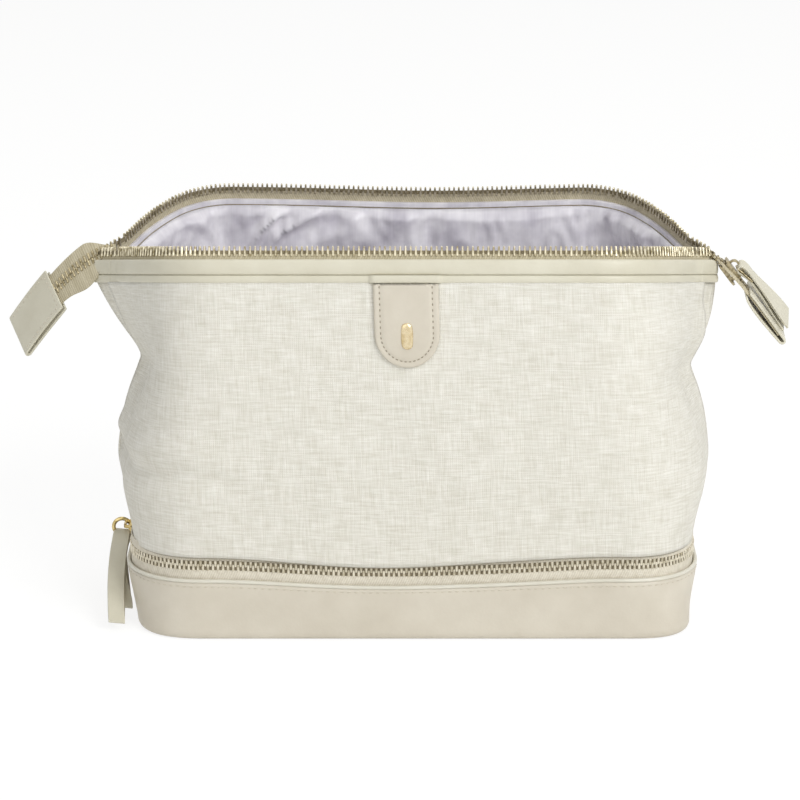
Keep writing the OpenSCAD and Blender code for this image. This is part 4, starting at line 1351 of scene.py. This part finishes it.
@dataclass
class FrontTab:
    """Leather tab on the front, tucked under the welt, with its stitching and a plain stud."""

    width: float = 31.0
    length: float = 38.4
    thick: float = 1.7
    stitch_in: float = 3.0
    top_share: float = 0.998
    stud_r: float = 2.9
    stud_y: float = -23.6
    stud_long: float = 3.2

    def outline(self, t: float, inset: float) -> tuple[float, float]:
        """Point of the tab's edge, set in by a distance; t runs down one side, round the foot and up.

        Args:
            t: Share of the way along the edge.
            inset: Distance inside the edge.

        Returns:
            Distance across from the middle, and height from the tab's top.
        """
        r = self.width / 2
        straight = self.length - r
        arc = math.pi * r
        s = t * (2 * straight + arc)
        k = r - inset
        if s < straight:
            return -k, -s
        if s < straight + arc:
            g = (s - straight) / r
            return -k * math.cos(g), -straight - k * math.sin(g)
        back = 2 * straight + arc - s
        return k, -back

    def at(self, x: float, y: float, n: float) -> Vector:
        """Point of the tab: x across, y up the wall from its top, n out of the wall.

        Args:
            x: Distance across from the middle.
            y: Height from the tab's top.
            n: Distance out of the wall.

        Returns:
            The point in millimetres.
        """
        v = self.top_share + y / SHAPE.wall_h
        u = x / SHAPE.base_len
        here = SHAPE.wall(u, v, 0.0, Face.FRONT)
        low, high = (SHAPE.wall(u, v + k, 0, Face.FRONT) for k in (-0.02, 0.02))
        out = (low - high).cross(Vector((1, 0, 0)))
        return Vector((x + SHAPE.sway * v, here.y, here.z)) - out.normalized() * n * math.copysign(1, out.y)

    def face_at(self, a: float, b: float) -> Vector:
        """Point of the tab's padded face, which rolls over at its edge.

        Args:
            a: Share of the way across, from -1 to 1.
            b: Share of the way from the top to the foot.

        Returns:
            The point in millimetres.
        """
        r = self.width / 2
        x = r * math.sin(a * math.pi / 2)
        straight = self.length - r
        y = -(1 - (1 - b) ** 1.4) * (straight + math.sqrt(max(0.0, r * r - x * x)))
        edge = r - math.hypot(x, max(0.0, -y - straight))
        roll = math.sqrt(max(0.0, 1 - (1 - min(1.0, edge / 0.9)) ** 2))
        pad = 0.3 * smooth((edge - self.stitch_in) / 2.5) - 0.28 * hump(edge, self.stitch_in, 0.55)
        return self.at(x, y, 0.25 + self.thick * roll + pad)

    def build(self) -> None:
        """Makes the tab, its stitches and its stud."""
        bm = grid(steps(-1, 1, 45), steps(0, 1, 52), self.face_at)
        weld(bm, lambda edge: True)
        tab = make_piece("front_tab_leather", bm, HIDE)
        pieces = [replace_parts(tab, "front_tab")]
        places = []
        for t in steps(0.014, 0.986, 36):
            here, there = (self.at(*self.outline(t + k, self.stitch_in), self.thick + 0.02)
                           for k in (-0.004, 0.004))
            places.append(((here + there) / 2, there - here, Vector((0, -1, 0.1))))
        # the stitches take the darker thread: painted shade of their seam
        pieces.append(make_piece("front_tab_stitches", stitches(places, 1.6, 0.7), THREAD_IN_PAINTED_SHADE))
        pieces.append(self.stud())
        for obj in pieces:
            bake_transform(obj)

    def stud(self) -> bpy.types.Object:
        """Makes the plain domed pill stud.

        Returns:
            The stud.
        """
        bm = bmesh.new()
        bmesh.ops.create_uvsphere(bm, u_segments=24, v_segments=14, radius=1.0)
        for vert in bm.verts:
            x, y, z = vert.co
            up = self.stud_y + self.stud_r * y + self.stud_long * (2 * smooth(y + 0.5) - 1)
            vert.co = self.at(self.stud_r * x, up, self.thick + 0.5 + 1.2 * z) * MM
        bmesh.ops.recalc_face_normals(bm, faces=bm.faces[:])
        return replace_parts(make_piece("plain_stud", bm, CHAMPAGNE), "tab_stud")


@dataclass
class Ribbon:
    """Soft strip along a bent line, with the way across it at both ends, in millimetres."""

    bend: tuple[Vector, ...]
    first: Vector
    last: Vector
    count: int = 80
    lengths: list[float] = field(default_factory=list)

    def __post_init__(self) -> None:
        """Measures the line."""
        here, length = self.point(0.0), 0.0
        for i in range(self.count + 1):
            there = self.point(i / self.count)
            length += (there - here).length
            self.lengths.append(length)
            here = there

    @property
    def length(self) -> float:
        """Length of the line."""
        return self.lengths[-1]

    def point(self, t: float) -> Vector:
        """Point of the line at share t of its curve.

        Args:
            t: Share of the curve.

        Returns:
            The point in millimetres.
        """
        a, b, c, d = self.bend
        k = 1 - t
        return a * k ** 3 + b * 3 * k * k * t + c * 3 * k * t * t + d * t ** 3

    def share(self, s: float) -> float:
        """Share of the curve at a length along it.

        Args:
            s: Length in millimetres.

        Returns:
            The share, above 1 past the end.
        """
        for i, (before, length) in enumerate(zip(self.lengths, self.lengths[1:])):
            if length >= s:
                return (i + (s - before) / (length - before)) / self.count
        return 1.0 + (s - self.length) / self.length

    def at(self, s: float, y: float, n: float) -> Vector:
        """Point at a length along the line, a distance across it and a height over its upper face.

        Args:
            s: Length along the line.
            y: Distance across it.
            n: Height over its upper face.

        Returns:
            The point in millimetres.
        """
        t = self.share(s)
        along = self.point(t + 0.01) - self.point(t - 0.01)
        across = self.first.lerp(self.last, smooth(t))
        across = (across - across.project(along)).normalized()
        return self.point(t) + across * y + along.cross(across).normalized() * n


@dataclass
class Tail:
    """Tail of the mouth's zip: two tapes, the meshed teeth and a folded leather end."""

    end: End
    ribbon: Ribbon
    leaf_from: float
    leaf_w: float = 11.0
    half: float = 9.5
    gape: float = 0.6
    lobe: float = 0.0
    inner_r: float = 0.65
    outer_r: float = 1.75
    stitch_in: float = 2.2
    tooth: Tooth = Tooth(1.1, 3.9, 2.4, 0.85)
    upper: tuple[float, float] = (2.0, 15.0)
    lower: tuple[float, float] = (9.5, 13.5)

    def build(self) -> None:
        """Makes the tape, the teeth, the leather end and its stitches."""
        word, body = self.end.word, f"{self.end.word}_tail"
        columns = steps(0.0, self.ribbon.length - 5, 44)
        section = ((0.0, 0.4), (0.5, 0.6), (1.0, 0.35), (1.0, -0.35), (0.5, -0.2), (0.0, -0.4))
        bm = bmesh.new()
        for k, begin in ((-1, self.upper), (1, self.lower)):
            part = tube(columns, section, lambda s, y, n, k=k, b=begin: self.ribbon.at(
                s, k * lerp(0.2, self.edge(s, k, b), y), n))
            mesh = bpy.data.meshes.new("half")
            part.to_mesh(mesh)
            part.free()
            bm.from_mesh(mesh)
            bpy.data.meshes.remove(mesh)
        tape = make_piece(f"{word}_tail_tape_cloth", bm, TAPE, STRIP_SHARP)
        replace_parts(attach(tape, body), f"{word}_tail_tape")
        places = []
        for i in range(int((self.leaf_from + 2) / TOOTH_PITCH)):
            for k in (-1, 1):
                s = (i + (0.25 if k > 0 else 0.75)) * TOOTH_PITCH
                foot, tip = self.ribbon.at(s, 3.4 * k, 0), self.ribbon.at(s, -0.5 * k, 0)
                before, after = (self.ribbon.at(s + step, 0, 0) for step in (-0.5, 0.5))
                places.append((foot, after - before, tip - foot))
        # the tail teeth take the darker brass, partly painted shade in the gaps between them
        teeth = make_piece(f"{word}_tail_teeth_row", self.tooth.row(places), SHADED_TEETH, TOOTH_SHARP)
        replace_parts(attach(teeth, body), f"{word}_tail_teeth")
        self.leaf(word, body)

    def edge(self, s: float, side: int, begin: tuple[float, float]) -> float:
        """Distance of a tape's outer edge from the chain, which widens from the zip end."""
        wide = lerp(2.9, self.half, smooth((s - begin[0]) / (begin[1] - begin[0])))
        return wide + (self.lobe * hump(s, 22, 9) if side > 0 else 0.0)

    def leaf(self, word: str, body: str) -> None:
        """Makes the leather end, folded round the far end of the tape.

        Args:
            word: Name of the end as it stands in node names.
            body: Body of the tail.
        """
        first, last = self.leaf_from, self.ribbon.length
        r1, r2 = self.inner_r, self.outer_r
        along = steps(first, last - r2, 16)
        swell = [self.gape * math.sin(math.pi * ((s - first) / (last - first)) ** 0.6) for s in along]
        half = math.pi / 2
        turn = [(last - r2 + r2 * math.cos(a), r2 * math.sin(a)) for a in steps(half, -half, 9)]
        inner = [(last - r2 + r1 * math.cos(a), r1 * math.sin(a)) for a in steps(-half, half, 7)]
        profile = [(s, r2) for s in along] + turn[1:-1]
        profile += [(s, -r2 - k) for s, k in zip(along[::-1], swell[::-1])]
        profile += [(s, -r1 - k) for s, k in zip(along, swell)] + inner[1:-1]
        profile += [(s, r1) for s in along[::-1]]
        bm = tube(steps(-self.leaf_w, self.leaf_w, 13), profile, lambda y, s, n: self.ribbon.at(s, y, n))
        leaf = make_piece(f"{word}_tail_leather", bm, BAND_HIDE, LEAF_SHARP)
        round_edges(leaf, 0.35)
        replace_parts(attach(leaf, body), f"{word}_tail_tab")
        lift, places = r2 + 0.05, []
        near, far, side = first + self.stitch_in, last - 3, self.leaf_w - self.stitch_in
        for (s0, y0), (s1, y1) in (((near, -side), (far, -side)), ((near, side), (far, side)),
                                   ((near, -side), (near, side))):
            count = max(3, int(math.dist((s0, y0), (s1, y1)) / 3.0))
            for i in range(count):
                k = (i + 0.5) / count
                s, y = lerp(s0, s1, k), lerp(y0, y1, k)
                here = self.ribbon.at(s, y, lift)
                ahead = self.ribbon.at(s + (s1 - s0) * 0.01, y + (y1 - y0) * 0.01, lift)
                places.append((here, ahead - here, self.ribbon.at(s, y, lift + 1) - here))
        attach(make_piece(f"{word}_tail_stitches", stitches(places, 1.9, 0.5), THREAD), body)


@dataclass
class LeatherPull:
    """Leather pull: a loop round a bar, then two leaves that widen and hang apart."""

    name: str
    body: str
    node: str
    ribbon: Ribbon
    neck: float
    foot: float
    spread: float
    fan: float = 0.0
    longer: float = 0.0
    bore: float = 1.5
    thick: float = 1.1

    def build(self) -> None:
        """Makes the folded strap."""
        length, thick = self.ribbon.length, self.thick
        upper, lower = [], []
        for s in steps(0.0, length, 16):
            closing = self.bore * (1 - smooth(s / 8) * 0.75)
            upper.append((s, closing + self.spread * 0.3 * smooth(s / length)))
            lower.append((s, -closing - self.spread * smooth(s / length)))
        loop, cover = ([(-r * math.sin(a), r * math.cos(a)) for a in steps(0, math.pi, 9)][1:-1]
                       for r in (self.bore, self.bore + thick))
        profile = lower[::-1] + loop[::-1] + upper
        profile += [(s, n + thick) for s, n in upper[::-1]] + cover + [(s, n - thick) for s, n in lower]

        def place(y: float, s: float, n: float) -> Vector:
            """Point of the strap, whose leaves fan apart and end at two lengths.

            Args:
                y: Share of the way across, from -1 to 1.
                s: Length along the strap.
                n: Height over its middle.

            Returns:
                The point in millimetres.
            """
            wide = lerp(self.neck, self.foot, smooth((s - 3) / (length - 6)))
            aside = self.fan * smooth((s / length - 0.35) / 0.65) if n > 0 else 0.0
            reach = s * (1 + (self.longer if n < 0 else -self.longer) * smooth(s / length))
            return self.ribbon.at(reach, y * wide / 2 - aside, n)

        bm = tube(steps(-1, 1, 9), profile, place)
        strap = make_piece(self.name, bm, BAND_HIDE, LEAF_SHARP)
        round_edges(strap, 0.25)
        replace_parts(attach(strap, self.body), self.node)


def dress(node: str, finish: Finish) -> None:
    """Gives a CAD node that stays in view its finish.

    Args:
        node: Name of the node.
        finish: Its finish.
    """
    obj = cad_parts[node]
    obj.data.materials.clear()
    obj.data.materials.append(finish.material())
    LOG.info("%s: CAD shape in %s", node, finish.name)


@dataclass
class Studio:
    """Camera at the photograph's angle, soft lamps and a white floor."""

    lift: float = math.radians(17.5)
    distance: float = 1.6
    focal_px: float = 3194.0
    image_px: float = 800.0
    middle: tuple[float, float] = (414.0, 404.4)
    target: Vector = field(default_factory=lambda: Vector((0, 0, 0.1)))

    def build(self) -> None:
        """Makes the camera, the lamps, the world and the floor."""
        scene = bpy.context.scene
        scene.view_settings.view_transform = "Standard"
        self.camera(scene)
        self.lamp("key_lamp", Vector((1.3, -1.5, 1.5)), 1.3, 31)
        self.lamp("fill_lamp", Vector((-1.0, -1.8, 1.0)), 1.6, 7.5)
        self.lamp("top_lamp", Vector((0.1, 0.5, 2.2)), 1.6, 12)
        self.world(scene)
        self.floor()

    def camera(self, scene: bpy.types.Scene) -> None:
        """Makes the camera.

        Args:
            scene: Scene that gets it.
        """
        data = bpy.data.cameras.new("camera")
        data.sensor_width = 36.0
        data.lens = self.focal_px / self.image_px * data.sensor_width
        data.shift_x = -(self.middle[0] - self.image_px / 2) / self.image_px
        data.shift_y = (self.middle[1] - self.image_px / 2) / self.image_px
        camera = bpy.data.objects.new("camera", data)
        back = Vector((0, -math.cos(self.lift), math.sin(self.lift)))
        camera.location = self.target + back * self.distance
        camera.rotation_euler = (-back).to_track_quat("-Z", "Y").to_euler()
        scene.collection.objects.link(camera)
        scene.camera = camera

    def lamp(self, name: str, place: Vector, size: float, power: float) -> None:
        """Makes a soft square lamp that faces the bag.

        Args:
            name: Name of the lamp.
            place: Its place in metres.
            size: Its side in metres.
            power: Its power in watts.
        """
        data = bpy.data.lights.new(name, "AREA")
        data.size, data.energy = size, power
        lamp = bpy.data.objects.new(name, data)
        lamp.location = place
        lamp.rotation_euler = (self.target - place).to_track_quat("-Z", "Y").to_euler()
        bpy.context.scene.collection.objects.link(lamp)

    def seen(self, tree: bpy.types.NodeTree) -> bpy.types.Node:
        """Share that is 1 for rays from the camera, from gloss and through glass.

        Args:
            tree: Node tree that uses the share.

        Returns:
            The node that gives it.
        """
        path = add_node(tree, "ShaderNodeLightPath")
        total = add_node(tree, "ShaderNodeMath", {
            0: path.outputs["Is Camera Ray"], 1: path.outputs["Is Glossy Ray"]}, operation="MAXIMUM")
        return add_node(tree, "ShaderNodeMath", {
            0: total, 1: path.outputs["Is Transmission Ray"]}, operation="MAXIMUM")

    def world(self, scene: bpy.types.Scene) -> None:
        """Makes the white surroundings and their even light.

        Args:
            scene: Scene that gets it.
        """
        world = bpy.data.worlds.new("studio")
        world.use_nodes = True
        tree = world.node_tree
        tree.nodes.clear()
        light = add_node(tree, "ShaderNodeBackground", {"Color": linear("#FFFFFF"), "Strength": 0.4})
        white = add_node(tree, "ShaderNodeBackground", {"Color": linear("#FFFFFF"), "Strength": 1.0})
        mixed = add_node(tree, "ShaderNodeMixShader", {0: self.seen(tree), 1: light, 2: white})
        add_node(tree, "ShaderNodeOutputWorld", {"Surface": mixed})
        scene.world = world

    def floor(self) -> None:
        """Makes the floor, which looks white and keeps the bag's shadow."""
        bm = bmesh.new()
        bmesh.ops.create_circle(bm, cap_ends=True, segments=64, radius=9.0)
        bmesh.ops.translate(bm, vec=(0, 0, -0.0002), verts=bm.verts[:])
        mesh = bpy.data.meshes.new("floor")
        bm.to_mesh(mesh)
        bm.free()
        paper = bpy.data.materials.new("white_paper")
        paper.use_nodes = True
        tree = paper.node_tree
        tree.nodes.clear()
        matt = add_node(tree, "ShaderNodeBsdfDiffuse", {"Color": linear("#F4F4F2")})
        glow = add_node(tree, "ShaderNodeEmission", {"Color": linear("#FFFFFF"), "Strength": 1.12})
        veil = add_node(tree, "ShaderNodeMath", {0: self.seen(tree), 1: 0.72}, operation="MULTIPLY")
        mixed = add_node(tree, "ShaderNodeMixShader", {0: veil, 1: matt, 2: glow})
        add_node(tree, "ShaderNodeOutputMaterial", {"Surface": mixed})
        mesh.materials.append(paper)
        floor = bpy.data.objects.new("floor", mesh)
        bpy.context.scene.collection.objects.link(floor)


@dataclass
class Metalwork:
    """Sliders and link, which keep their CAD shape, and the stout ring of the lower slider."""

    ring_r: float = 4.3
    wire_r: float = 1.0

    def build(self) -> None:
        """Gives the sliders and the link their polish and makes the ring."""
        for node in ("main_slider", "main_link", "base_slider"):
            # the main slider and link take the darker brass, partly painted shade
            dress(node, GOLD if node.startswith("base") else SHADED_TEETH)
        low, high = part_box("base_ring")
        middle = (Vector(low) + Vector(high)) / 2 / MM
        section = round_profile((self.ring_r, 0.0), (self.wire_r, self.wire_r), 12)
        bm = tube(steps(0.0, 2 * math.pi, 41), section, lambda a, r, y: middle + Vector((
            r * math.cos(a), y, r * math.sin(a))), True)
        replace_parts(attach(make_piece("lower_ring_wire", bm, GOLD), "base_ring"), "base_ring")


def tails() -> list[Tail]:
    """Gives both tails along the lines on which they hang.

    Returns:
        The tails, left one first.
    """
    left = Ribbon(vectors((-147, 0, 180), (-163, 0, 178.5), (-181, 3, 157), (-198, 11, 131.5)),
                  *vectors((-0.1, -0.5, -0.86), (0.34, -0.76, -0.56)))
    right = Ribbon(vectors((141, 0, 180.5), (154, 0, 176.5), (168.2, 0, 155.8), (183.6, 0, 135)),
                   *vectors((0, 1, 0), (-0.1, 0.97, 0.22)))
    return [Tail(End.LEFT, left, 38.5, leaf_w=13.2, lobe=3.8),
            Tail(End.RIGHT, right, 32.0, gape=1.4, upper=(9.0, 16.0), lower=(9.0, 16.0))]


def pulls() -> list[LeatherPull]:
    """Gives the pulls of both sliders along the lines on which they hang.

    Returns:
        The pulls, upper one first.
    """
    main_line = Ribbon(vectors((161.8, 0, 171), (167.5, 0.5, 167), (176.5, 3.2, 154.5), (185.6, 6.5, 142.4)),
                       *vectors((0, 0.93, 0.37), (0, 0.88, 0.47)))
    low_line = Ribbon(vectors((-147.9, 0, 31.3), (-149.6, -13, 25.5), (-150, -31, 14), (-148.4, -47, 5)),
                      *vectors((-1, 0, 0), (-0.95, -0.2, 0.2)))
    return [LeatherPull("main_pull_leather", "main_pull", "main_pull", main_line, 6.4, 17.0, 0.6),
            LeatherPull("lower_pull_leather", "base_pull", "base_pull", low_line, 8.4, 8.2, 2.6, fan=5.4,
                        longer=0.14)]


def main() -> None:
    """Builds the bag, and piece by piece."""
    logging.basicConfig(level=logging.INFO, format="%(name)s %(message)s")
    Studio().build()
    Tray().build()
    LowerZip().build()
    UpperBody().build()
    for face in Face:
        RimHalf(face).build()
    for end in End:
        ZipEnd(end).build()
    FrontTab().build()
    for tail in tails():
        tail.build()
    for pull in pulls():
        pull.build()
    Metalwork().build()


if __name__ == "__main__":
    main()
